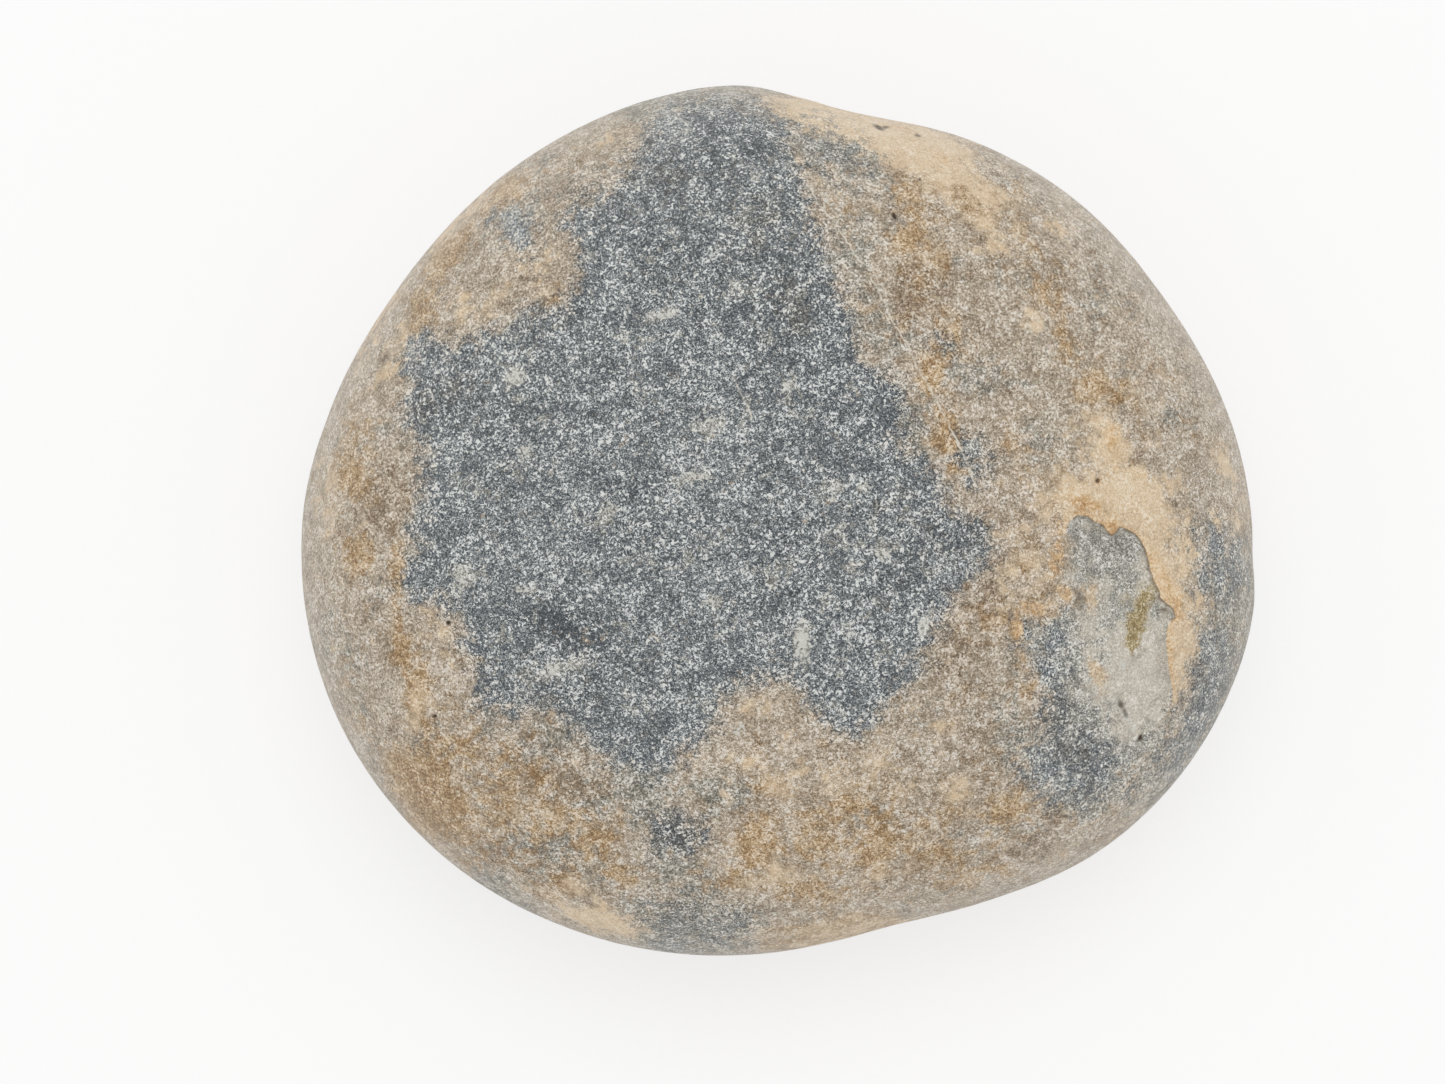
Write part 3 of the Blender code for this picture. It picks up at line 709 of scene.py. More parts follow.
class Board:
    """Short words for adding and wiring the nodes of one tree."""

    def __init__(self, tree: bpy.types.NodeTree) -> None:
        """Keep the tree and empty it."""
        self.tree = tree
        tree.nodes.clear()

    def node(self, kind: str, feeds: dict[str | int, Feed] | None = None,
             **settings: object) -> bpy.types.Node:
        """Add a node, set its properties and feed its inputs.

        Args:
            kind: The node's type name.
            feeds: What its inputs take, by their names or numbers. A colour of three numbers
                gets full opacity.
            **settings: Property names and values.

        Returns:
            The new node.
        """
        node = self.tree.nodes.new(kind)
        for name, value in settings.items():
            setattr(node, name, value)
        for name, value in (feeds or {}).items():
            socket = node.inputs[name]
            if isinstance(value, bpy.types.NodeSocket):
                self.tree.links.new(value, socket)
            elif socket.type == "RGBA":
                socket.default_value = (*value, 1.0)
            else:
                socket.default_value = value
        return node

    def math(self, operation: str, *values: Feed, clamp: bool = False) -> Wire:
        """The result of a Math node, kept from 0 to 1 if clamp is True."""
        feeds = dict(enumerate(values))
        return self.node("ShaderNodeMath", feeds, operation=operation, use_clamp=clamp).outputs[0]

    def product(self, first: Wire, *others: Feed) -> Wire:
        """Product of several values.

        Args:
            first: First value.
            *others: The other values.

        Returns:
            The product.
        """
        result = first
        for value in others:
            result = self.math("MULTIPLY", result, value)
        return result

    def band(self, value: Wire, band: Band) -> Wire:
        """Map a band of values smoothly to another, and hold its ends.

        Args:
            value: The value to map.
            band: The band, and what its ends become.

        Returns:
            The mapped value.
        """
        feeds = {"Value": value, "From Min": band.low, "From Max": band.high,
                 "To Min": band.start, "To Max": band.end}
        node = self.node("ShaderNodeMapRange", feeds, interpolation_type="SMOOTHSTEP")
        return node.outputs["Result"]

    def mix(self, share: Wire, first: Wire | Colour, second: Wire | Colour) -> Wire:
        """Two colours mixed, by the share of the second."""
        feeds = {0: share, 6: first, 7: second}     # of its inputs, 6 and 7 are the colours
        return self.node("ShaderNodeMix", feeds, data_type="RGBA").outputs[2]

    def scaled(self, vector: Wire, factor: Feed) -> Wire:
        """A vector times a factor."""
        feeds = {0: vector, "Scale": factor}
        return self.node("ShaderNodeVectorMath", feeds, operation="SCALE").outputs[0]

    def shifted(self, vector: Wire, steps: tuple[float, float, float], count: int) -> Wire:
        """A vector moved by a number of steps."""
        feeds = {0: vector, 1: tuple(step * count for step in steps)}
        return self.node("ShaderNodeVectorMath", feeds, operation="ADD").outputs[0]

    def raw_noise(self, place: Wire, scale: Feed, detail: float = 0.0) -> bpy.types.Node:
        """A noise node, from the number of grains in each unit and of finer noises over them."""
        feeds = {"Vector": place, "Scale": scale, "Detail": detail}
        return self.node("ShaderNodeTexNoise", feeds, noise_dimensions="3D", noise_type="FBM")

    def centred(self, noise: bpy.types.Node) -> Wire:
        """A noise node's value, moved so that it lies about zero."""
        return self.math("SUBTRACT", noise.outputs["Fac"], 0.5)


class StoneBoard(Board):
    """A board whose patterns lie on the stone: its coordinates are in mm."""

    CURL_SIZE = 0.9                     # size of the bends in the curled coordinates, in mm
    CURL_REACH = 0.2                    # how far those bends go, in mm
    FRAY_SIZE = 0.9                     # grains of the noise that frays wide edges, in mm
    CHIP_SIZE = 0.6                     # grains of the noise that chips narrow edges, in mm
    NOISE_STEPS = (37.0, 11.0, 5.0)     # from one layer of noise to the next, in mm
    DASH_STEPS = (19.0, 7.0, 0.0)       # the same for layers of dashes

    def __init__(self, tree: bpy.types.NodeTree) -> None:
        """Add the coordinates that every pattern shares, and the two noises that fray edges.

        Args:
            tree: The tree of the material.
        """
        super().__init__(tree)
        place = self.node("ShaderNodeTexCoord").outputs["Object"]
        self.place = self.scaled(place, 1.0 / MM)
        self.curled = self.curl(self.CURL_SIZE, self.CURL_REACH)
        self.layers = 0
        self.fray = self.noise(self.FRAY_SIZE)
        self.chips = self.noise(self.CHIP_SIZE)

    def mark(self, mark: Mark) -> Wire:
        """The number that the mesh carries for a mark."""
        return self.node("ShaderNodeAttribute", attribute_name=mark.value).outputs["Fac"]

    def cloud(self, cloud: Cloud) -> Wire:
        """The slow noise that the mesh carries."""
        return self.node("ShaderNodeAttribute", attribute_name=cloud.title).outputs["Fac"]

    def noise(self, size: float) -> Wire:
        """Noise about zero, from about -0.5 to 0.5, unlike any other layer's.

        Args:
            size: Size of its grains, in mm.

        Returns:
            The noise.
        """
        self.layers += 1
        place = self.shifted(self.place, self.NOISE_STEPS, self.layers)
        return self.centred(self.raw_noise(place, 1.0 / size))

    def dash(self, length: float, width: float, heading: float) -> Wire:
        """Noise about zero whose grains are short dashes that lie one way.

        Args:
            length: Length of the grains, in mm.
            width: Width of the grains, in mm.
            heading: Direction of the grains, in degrees from +X.

        Returns:
            The noise.
        """
        self.layers += 1
        feeds = {"Vector": self.curled,
                 "Location": tuple(step * self.layers for step in self.DASH_STEPS),
                 "Rotation": (0.0, 0.0, math.radians(heading)),
                 "Scale": (length, width, width)}
        turned = self.node("ShaderNodeMapping", feeds, vector_type="TEXTURE")
        return self.centred(self.raw_noise(turned.outputs[0], 1.0))

    def cells(self, size: float) -> Wire:
        """Small crystals, each with its own chance value from 0 to 1.

        Args:
            size: Usual distance between the crystals' centres, in mm.

        Returns:
            The value of the crystal at each place.
        """
        feeds = {"Vector": self.curled, "Scale": 1.0 / size}
        crystals = self.node("ShaderNodeTexVoronoi", feeds, voronoi_dimensions="3D", feature="F1")
        return self.node("ShaderNodeSeparateXYZ", {0: crystals.outputs["Color"]}).outputs[0]

    def curl(self, size: float, reach: float) -> Wire:
        """The coordinates, bent by noise so that straight grains curl.

        Args:
            size: Size of the bends, in mm.
            reach: How far they go, in mm.

        Returns:
            The bent coordinates.
        """
        bends = self.raw_noise(self.place, 1.0 / size).outputs["Color"]
        feeds = {0: bends, 1: (2.0 * reach,) * 3, 2: self.place}
        return self.node("ShaderNodeVectorMath", feeds, operation="MULTIPLY_ADD").outputs[0]

    def total(self, *parts: tuple[Wire, float]) -> Wire:
        """Weighted sum of several values.

        Args:
            *parts: Pairs of a value and its weight.

        Returns:
            The sum.
        """
        value, weight = parts[0]
        result = self.math("MULTIPLY", value, weight)
        for value, weight in parts[1:]:
            result = self.math("MULTIPLY_ADD", value, weight, result)
        return result


# ---- The finish ------------------------------------------------------------------------------

def paint(red: int, green: int, blue: int) -> Colour:
    """A colour from its everyday values, 0 to 255, as the linear values that a shader takes.

    Args:
        red: Red.
        green: Green.
        blue: Blue.

    Returns:
        The linear colour.
    """
    def linear(value: float) -> float:
        """One channel from 0 to 1, made linear."""
        return value / 12.92 if value <= 0.04045 else ((value + 0.055) / 1.055) ** 2.4

    return linear(red / 255.0), linear(green / 255.0), linear(blue / 255.0)


# Where each tone of a grain lies on its scale, where a speckle of zero lies on it, and how far a
# speckle of one moves along it.
TONE_STOPS = (0.0, 0.28, 0.47, 0.66, 0.95)
SPECKLE_MIDDLE = 0.47
SPECKLE_GAIN = 0.147


@dataclass(frozen=True)
class Grain:
    """Colours of one kind of stone, from its darkest grains to its lightest."""

    darkest: Colour
    dark: Colour
    middle: Colour
    light: Colour
    lightest: Colour

    def colour(self, board: StoneBoard, speckle: Wire) -> Wire:
        """The stone's colour for a speckle.

        Args:
            board: The board.
            speckle: The speckle, about zero, with most of it from -2 to 2.

        Returns:
            The colour.
        """
        share = board.math("MULTIPLY_ADD", speckle, SPECKLE_GAIN, SPECKLE_MIDDLE, clamp=True)
        scale = board.node("ShaderNodeValToRGB", {"Fac": share})
        stops = scale.color_ramp.elements
        while len(stops) < len(TONE_STOPS):
            stops.new(SPECKLE_MIDDLE)
        tones = (self.darkest, self.dark, self.middle, self.light, self.lightest)
        for stop, position, tone in zip(stops, TONE_STOPS, tones):
            stop.position = position
            stop.color = (*tone, 1.0)
        return scale.outputs["Color"]


@dataclass(frozen=True)
class Spread:
    """How one colour spreads over another: where it lies and how its edge breaks up.

    Attributes:
        cloud: The slow noise that breaks it up.
        cloud_weight: Weight of the slow noise.
        fray_weight: Weight of the fine noise that frays its edge.
        mark: The mark that says where it lies.
        mark_weight: Weight of the mark.
        setting: From where it starts to show to where it is full.
    """

    cloud: Cloud
    cloud_weight: float
    fray_weight: float
    mark: Mark
    mark_weight: float
    setting: Band

    def cover(self, board: StoneBoard, fray: Wire, *others: tuple[Wire, float]) -> Wire:
        """How much of the colour shows.

        Args:
            board: The board.
            fray: The fine noise.
            *others: Further values and their weights.

        Returns:
            The share, from 0 to 1.
        """
        broken = board.total((board.cloud(self.cloud), self.cloud_weight),
                             (fray, self.fray_weight),
                             (board.mark(self.mark), self.mark_weight), *others)
        return board.band(broken, self.setting)


@dataclass(frozen=True)
class SpeckleMix:
    """What each layer of grain weighs in a speckle, and the level that is then taken off."""

    bright: float       # pale crystals and dashes
    crystals: float     # the tone of each crystal
    grains: float       # the finest noise
    grit: float         # noise of the size of a sand grain
    mottle: float       # noise of about a millimetre
    drift: float        # slow noise
    level: float

    def blend(self, board: StoneBoard, layers: dict[str, Wire]) -> Wire:
        """The speckle, about zero, from the layers by the names of their weights."""
        parts = [(layer, getattr(self, name)) for name, layer in layers.items()]
        return board.math("SUBTRACT", board.total(*parts), self.level)


@dataclass(frozen=True)
class StoneFinish:
    """Weathered, speckled limestone: blue-grey core, tan rind, stains, scar, veins and flecks."""

    # Tones of each kind of stone.
    core: Grain = Grain(paint(64, 70, 74), paint(106, 111, 115), paint(133, 139, 141),
                        paint(173, 178, 178), paint(234, 236, 233))
    ash: Grain = Grain(paint(74, 73, 70), paint(112, 112, 108), paint(142, 142, 137),
                       paint(178, 176, 169), paint(230, 227, 220))
    pale: Grain = Grain(paint(112, 111, 104), paint(150, 149, 142), paint(182, 180, 171),
                        paint(210, 208, 200), paint(240, 239, 233))
    rind: Grain = Grain(paint(130, 115, 96), paint(165, 150, 130), paint(192, 177, 157),
                        paint(214, 201, 184), paint(240, 232, 220))
    brown: Grain = Grain(paint(98, 82, 64), paint(134, 116, 94), paint(164, 145, 122),
                         paint(194, 177, 156), paint(228, 217, 202))
    ochre: Grain = Grain(paint(124, 96, 64), paint(162, 132, 95), paint(192, 162, 122),
                         paint(215, 189, 153), paint(238, 221, 197))
    cream: Grain = Grain(paint(186, 160, 128), paint(215, 190, 157), paint(230, 206, 172),
                         paint(241, 219, 188), paint(248, 234, 213))
    thin: Grain = Grain(paint(92, 88, 78), paint(129, 125, 114), paint(163, 158, 146),
                        paint(199, 194, 183), paint(236, 231, 222))
    scar: Grain = Grain(paint(118, 117, 110), paint(154, 152, 143), paint(180, 177, 167),
                        paint(207, 204, 195), paint(238, 235, 228))
    scar_pale: Grain = Grain(paint(160, 151, 138), paint(192, 183, 169), paint(212, 204, 189),
                             paint(225, 218, 205), paint(241, 236, 227))
    orange: Grain = Grain(paint(166, 124, 80), paint(200, 160, 112), paint(222, 187, 141),
                          paint(239, 210, 170), paint(246, 228, 200))
    olive: Grain = Grain(paint(112, 90, 40), paint(145, 121, 66), paint(170, 148, 92),
                         paint(194, 175, 126), paint(218, 207, 174))
    # Brown painted shade for the scar's corners and the notch under the ledge.
    corner_shade: Colour = paint(118, 106, 88)
    # Painted shadow for the thin dark line just inside the ledge.
    ledge_shadow: Colour = paint(112, 94, 74)
    fleck: Colour = paint(222, 221, 213)
    vein: Colour = paint(232, 226, 212)
    # Darkens the pits and pecks: painted shade in the hollows, and in the pits also their own dark
    # brown.
    pit: Colour = paint(70, 53, 34)

    # Gloss, dust and bump.
    roughness: float = 0.72
    roughness_gain: float = 0.02     # how much rougher the pale grains are
    specular: float = 0.35
    dust: float = 0.65               # how much the surface whitens where it is seen edge on
    dust_roughness: float = 0.35
    dust_tint: Colour = paint(255, 250, 242)
    grain_height: float = 0.05       # mm
    grain_bump: float = 0.5

    # The layers of grain: sizes in mm, headings in degrees.
    crystal_size: float = 0.22
    mottle_size: float = 1.2
    grit_size: float = 0.26
    fine_size: float = 0.13
    dash_length: float = 0.45
    dash_width: float = 0.11
    dash_headings: tuple[float, float] = (35.0, 118.0)
    pale_crystals: Band = Band(0.76, 1.0)
    pale_dashes: Band = Band(0.1, 0.34)
    pale_weight: float = 3.4
    crowding: Band = Band(-0.22, 0.26, 0.4, 1.35)
    fine_weight: float = 9.6
    grit_weight: float = 3.6
    core_speckle: SpeckleMix = SpeckleMix(1.3, 2.0, 1.0, 0.0, 1.1, 1.5, 1.95)
    rind_speckle: SpeckleMix = SpeckleMix(0.85, 2.1, 0.7, 2.0, 2.4, 2.2, 1.5)

    # How the colours spread.
    brown_spread: Spread = Spread(Cloud.BROWN, 2.0, 1.5, Mark.BROWN, 0.8, Band(0.1, 1.0, 0.0, 0.9))
    thin_spread: Spread = Spread(Cloud.THIN, 1.9, -1.6, Mark.THIN, 1.0, Band(0.15, 1.0))
    ochre_spread: Spread = Spread(Cloud.OCHRE, 1.7, 1.2, Mark.OCHRE, 0.9, Band(0.12, 1.1))
    cream_spread: Spread = Spread(Cloud.CREAM, 1.7, -1.1, Mark.CREAM, 0.9, Band(0.15, 1.0))
    ash_spread: Spread = Spread(Cloud.THIN, 1.4, 1.2, Mark.ASH, 1.0, Band(0.0, 0.9))
    ash_worn: float = -0.15          # what the shown crown weighs in the ash
    pale_spread: Spread = Spread(Cloud.CLUSTER, 1.2, 0.7, Mark.PALE, 0.55,
                                 Band(0.1, 0.42, 0.0, 0.9))
    scar_spread: Spread = Spread(Cloud.BROWN, 2.4, 1.2, Mark.CREAM, 0.8, Band(-0.1, 0.7))
    ochre_dip: float = 0.7           # how much the brown stretches darken the ochre
    cream_calm: float = 0.7          # share of the speckle that the cream keeps
    cream_lift: float = 0.7          # how much a strong stain brightens the cream
    cream_level: float = 0.5

    # The ragged edge of the core: grains in mm, and what weighs in it.
    core_grain: float = 1.3
    core_cloud: float = 2.0
    core_noise: float = 2.8
    core_chips: float = 2.0
    core_flecks: float = -0.2
    core_edge: Band = Band(-1.3, 1.2)
    chance_cloud: float = 26.0       # off the shown crown, windows of core are left to chance
    chance_worn: float = -40.0
    chance_level: float = -3.0

    # The scar: its edge is sharp at the ledge and soft away from it. Distances in mm.
    scar_away: Band = Band(0.6, 4.0)
    scar_cloud: float = 3.0
    scar_chips: float = 2.0
    ledge_blur: float = 0.12
    away_blur: float = 0.8
    scar_edge: Band = Band(-1.0, 1.0)
    scar_grain: float = 1.6
    scar_noise: float = 3.4
    scar_lift: float = 0.5           # how much the cream mark brightens the floor
    scar_calm: float = 0.6           # share of the grain that the pale floor keeps
    scar_outside: Band = Band(-0.1, 0.1, 1.0, 0.0)
    scar_inside: Band = Band(-0.1, 0.1)

    # Beside the ledge: the cream band, the orange stain, the lip and the painted shadow line.
    rim_chips: float = 2.2
    rim_band: Band = Band(-0.6, 0.8, 0.0, 0.95)
    stain_chips: float = 0.35
    stain_setting: Band = Band(0.25, 1.0, 0.0, 0.95)
    stain_dip: float = -1.1          # how much the brown stretches darken the orange
    lip_chips: float = 0.25
    lip_fade: Band = Band(0.0, 0.6, 0.8, 0.0)
    # The painted shadow line inside the ledge's sharp part.
    ledge_shadow_reach: Band = Band(0.3, 0.9, 0.75, 0.0)
    ledge_shadow_chips: float = 0.5
    ledge_shadow_inner: Band = Band(0.0, 0.32, 1.0, 0.0)
    ledge_shadow_outer: Band = Band(-0.12, 0.02)

    # Patches on the scar, flecks, veins and pits.
    blob_level: float = 0.9
    patch_setting: Band = Band(0.2, 1.0, 0.0, 0.85)
    fleck_grain: float = 0.35        # mm
    fleck_noise: float = 2.2
    fleck_mark: float = 0.7
    fleck_setting: Band = Band(0.45, 1.0, 0.0, 0.9)
    vein_wander: float = 0.5
    vein_line: Band = Band(0.03, 0.15, 1.0, 0.0)
    vein_end: Band = Band(0.4, 0.9, 1.0, 0.0)
    vein_breaks: Band = Band(-0.08, 0.08, 0.3, 0.9)
    # The darkening of pits and pecks is painted shade in the hollows; the pits also keep their own
    # dark brown.
    peck_shade: float = 0.25
    pit_shade: float = 0.92

    def material(self) -> bpy.types.Material:
        """Build the stone's material.

        Returns:
            The material.
        """
        material = bpy.data.materials.new("worn_nodule_stone")
        material.use_nodes = True
        board = StoneBoard(material.node_tree)
        sharp, soft, grit = self.speckles(board)
        colour = self.rind_colour(board, soft)
        colour = board.mix(self.scar_mask(board), colour, self.scar_colour(board, sharp))
        colour = board.mix(self.core_mask(board, sharp), colour, self.core_colour(board, sharp))
        colour = self.add_ledge(board, colour, soft)
        colour = self.add_patches(board, colour, soft)
        colour = self.add_flecks(board, colour)
        colour = self.add_pits(board, colour)

        gloss = board.math("MULTIPLY_ADD", sharp, self.roughness_gain, self.roughness, clamp=True)
        feeds = {"Distance": self.grain_height * MM, "Strength": self.grain_bump, "Height": grit}
        bump = board.node("ShaderNodeBump", feeds).outputs["Normal"]
        shader = board.node("ShaderNodeBsdfPrincipled", {
            "Base Color": colour, "Roughness": gloss, "Normal": bump,
            "Specular IOR Level": self.specular, "Sheen Weight": self.dust,
            "Sheen Roughness": self.dust_roughness, "Sheen Tint": self.dust_tint})
        board.node("ShaderNodeOutputMaterial", {"Surface": shader.outputs["BSDF"]})
        return material

    def speckles(self, board: StoneBoard) -> tuple[Wire, Wire, Wire]:
        """Grain about zero: bright crystals and short dashes over finer and coarser noise.

        Args:
            board: The board.

        Returns:
            The core's sharp grain, the rind's softer grain and the finest grain alone.
        """
        crystals = board.cells(self.crystal_size)
        mottle = board.noise(self.mottle_size)
        drift = board.cloud(Cloud.SPECKLE)
        grit = board.noise(self.grit_size)
        fine = board.noise(self.fine_size)
        dashes = board.math("MAXIMUM", *(board.dash(self.dash_length, self.dash_width, heading)
                                         for heading in self.dash_headings))
        bright = board.total((board.band(crystals, self.pale_crystals), self.pale_weight),
                             (board.band(dashes, self.pale_dashes), self.pale_weight))
        crowd = board.band(board.math("ADD", mottle, drift), self.crowding)
        grains = board.total((fine, self.fine_weight), (grit, self.grit_weight))
        layers = {"bright": board.product(bright, crowd), "crystals": crystals, "grains": grains,
                  "grit": grit, "mottle": mottle, "drift": drift}
        core, rind = self.core_speckle, self.rind_speckle
        return core.blend(board, layers), rind.blend(board, layers), grains

    def core_colour(self, board: StoneBoard, speckle: Wire) -> Wire:
        """Blue-grey core with pale clusters of flecks.

        Args:
            board: The board.
            speckle: The speckle.

        Returns:
            The colour.
        """
        deep = board.math("SUBTRACT", speckle, board.mark(Mark.DARK))
        ashen = self.ash_spread.cover(board, board.fray, (board.mark(Mark.WORN), self.ash_worn))
        colour = board.mix(ashen, self.core.colour(board, deep), self.ash.colour(board, deep))
        clusters = self.pale_spread.cover(board, board.chips)
        return board.mix(clusters, colour, self.pale.colour(board, speckle))

    def core_mask(self, board: StoneBoard, speckle: Wire) -> Wire:
        """Where the rind has worn through to the core, with a broken edge.

        Args:
            board: The board.
            speckle: The speckle.

        Returns:
            1 on the core and 0 on the rind.
        """
        ragged = board.total((board.cloud(Cloud.CORE_EDGE), self.core_cloud),
                             (board.noise(self.core_grain), self.core_noise),
                             (board.chips, self.core_chips), (speckle, self.core_flecks))
        chance = board.total((board.cloud(Cloud.CHANCE), self.chance_cloud),
                             (board.mark(Mark.WORN), self.chance_worn))
        chance = board.math("ADD", chance, self.chance_level)
        window = board.math("MAXIMUM", board.mark(Mark.CORE), chance)
        return board.band(board.math("ADD", window, ragged), self.core_edge)

    def scar_mask(self, board: StoneBoard) -> Wire:
        """Where the scar is, sharp at the ledge and broken elsewhere.

        Args:
            board: The board.

        Returns:
            1 inside the scar and 0 outside.
        """
        away = board.band(board.mark(Mark.LEDGE), self.scar_away)
        ragged = board.total((board.cloud(Cloud.SCAR), self.scar_cloud),
                             (board.chips, self.scar_chips))
        edge = board.math("MULTIPLY_ADD", ragged, away, board.mark(Mark.SCAR))
        blur = board.math("MULTIPLY_ADD", away, self.away_blur, self.ledge_blur)
        return board.band(board.math("DIVIDE", edge, blur), self.scar_edge)

    def scar_colour(self, board: StoneBoard, speckle: Wire) -> Wire:
        """Floor of the scar, grey under the ledge and paler beyond it.

        Args:
            board: The board.
            speckle: The speckle.

        Returns:
            The colour.
        """
        rough = board.total((board.noise(self.scar_grain), self.scar_noise), (speckle, 1.0),
                            (board.mark(Mark.CREAM), self.scar_lift))
        smooth = board.product(rough, self.scar_calm)
        return board.mix(self.scar_spread.cover(board, board.fray),
                         self.scar.colour(board, rough), self.scar_pale.colour(board, smooth))

    def rind_colour(self, board: StoneBoard, speckle: Wire) -> Wire:
        """Tan rind, with stains and thin places.

        Args:
            board: The board.
            speckle: The speckle.

        Returns:
            The colour.
        """
        deep = board.math("MULTIPLY_ADD", board.mark(Mark.BROWN), -self.ochre_dip, speckle)
        layers = (
            (self.brown_spread, self.brown.colour(board, speckle)),
            (self.thin_spread, self.thin.colour(board, speckle)),
            (self.ochre_spread, self.ochre.colour(board, deep)),
            (self.cream_spread, self.cream_colour(board, speckle)),
        )
        colour = self.rind.colour(board, speckle)
        for spread, tone in layers:
            colour = board.mix(spread.cover(board, board.fray), colour, tone)
        return colour

    def cream_colour(self, board: StoneBoard, speckle: Wire) -> Wire:
        """Cream, with calmer grain than the rind's and brighter where the stain is strong."""
        calm = board.total((speckle, self.cream_calm), (board.mark(Mark.CREAM), self.cream_lift))
        return self.cream.colour(board, board.math("SUBTRACT", calm, self.cream_level))

    def add_ledge(self, board: StoneBoard, colour: Wire, speckle: Wire) -> Wire:
        """Lay the cream band, the orange stains and the painted shadow line beside the ledge.

        Args:
            board: The board.
            colour: The colour so far.
            speckle: The speckle.

        Returns:
            The colour with them.
        """
        scar, ledge = board.mark(Mark.SCAR), board.mark(Mark.LEDGE)
        outside = board.band(scar, self.scar_outside)
        ragged = board.total((board.cloud(Cloud.SCAR), self.scar_cloud),
                             (board.chips, self.rim_chips))
        band = board.band(board.math("ADD", board.mark(Mark.BAND), ragged), self.rim_band)
        colour = board.mix(board.product(band, outside), colour,
                           self.cream_colour(board, speckle))

        ripe = board.total((speckle, self.cream_calm), (board.mark(Mark.CREAM), self.cream_lift),
                           (board.mark(Mark.BROWN), self.stain_dip))
        orange = self.orange.colour(board, ripe)
        stain = board.total((board.mark(Mark.ORANGE), 1.0), (ragged, self.stain_chips))
        stain = board.band(stain, self.stain_setting)
        colour = board.mix(board.product(stain, outside), colour, orange)
        lip = board.math("MULTIPLY_ADD", ragged, self.lip_chips, ledge)
        lip = board.band(lip, self.lip_fade)
        colour = board.mix(board.product(lip, outside), colour, orange)

        # Painted shadow: a thin dark line just inside the ledge, where its wall would shade the
        # floor.
        near = board.band(board.mark(Mark.SEAM), self.ledge_shadow_reach)
        line = board.math("MULTIPLY_ADD", board.chips, self.ledge_shadow_chips, scar)
        line = board.product(board.band(line, self.ledge_shadow_inner), board.band(scar, self.ledge_shadow_outer))
        return board.mix(board.product(near, line), colour, self.ledge_shadow)

    def add_patches(self, board: StoneBoard, colour: Wire, speckle: Wire) -> Wire:
        """Lay the olive streaks, the cream blobs and the painted shade in the scar's corners.

        Args:
            board: The board.
            colour: The colour so far.
            speckle: The speckle.

        Returns:
            The colour with them.
        """
        inside = board.band(board.mark(Mark.SCAR), self.scar_inside)
        faded = self.cream.colour(board, board.math("SUBTRACT", speckle, self.blob_level))
        # The last patch is painted shade in the scar's corners and the notch under the ledge.
        patches = ((Mark.OLIVE, self.olive.colour(board, speckle)), (Mark.BLOB, faded),
                   (Mark.CORNER_SHADE, self.corner_shade))
        for mark, tone in patches:
            patch = board.math("ADD", board.mark(mark), board.chips)
            patch = board.product(board.band(patch, self.patch_setting), inside)
            colour = board.mix(patch, colour, tone)
        return colour

    def add_flecks(self, board: StoneBoard, colour: Wire) -> Wire:
        """Lay the pale flecks and the hairline veins.

        Args:
            board: The board.
            colour: The colour so far.

        Returns:
            The colour with them.
        """
        flecks = board.total((board.noise(self.fleck_grain), self.fleck_noise),
                             (board.mark(Mark.PALE), self.fleck_mark))
        colour = board.mix(board.band(flecks, self.fleck_setting), colour, self.fleck)
        across = board.total((board.mark(Mark.ACROSS), 1.0), (board.chips, self.vein_wander))
        vein = board.product(board.band(board.math("ABSOLUTE", across), self.vein_line),
                             board.band(board.mark(Mark.VEIN), self.vein_end),
                             board.band(board.fray, self.vein_breaks))
        return board.mix(vein, colour, self.vein)

    def add_pits(self, board: StoneBoard, colour: Wire) -> Wire:
        """Darken the pits, and the scattered pecks a little: painted shade in the hollows, and in
        the pits also their own dark brown.

        Args:
            board: The board.
            colour: The colour so far.

        Returns:
            The finished colour.
        """
        pecks = board.product(board.mark(Mark.PECK), self.peck_shade)
        pits = board.math("MAXIMUM", board.mark(Mark.PIT), pecks)
        return board.mix(board.product(pits, self.pit_shade), colour, self.pit)


# ---- The skin's small relief -----------------------------------------------------------------

FREE = "free"       # the mesh's number that is 0 on the rest flat and 1 where relief is allowed


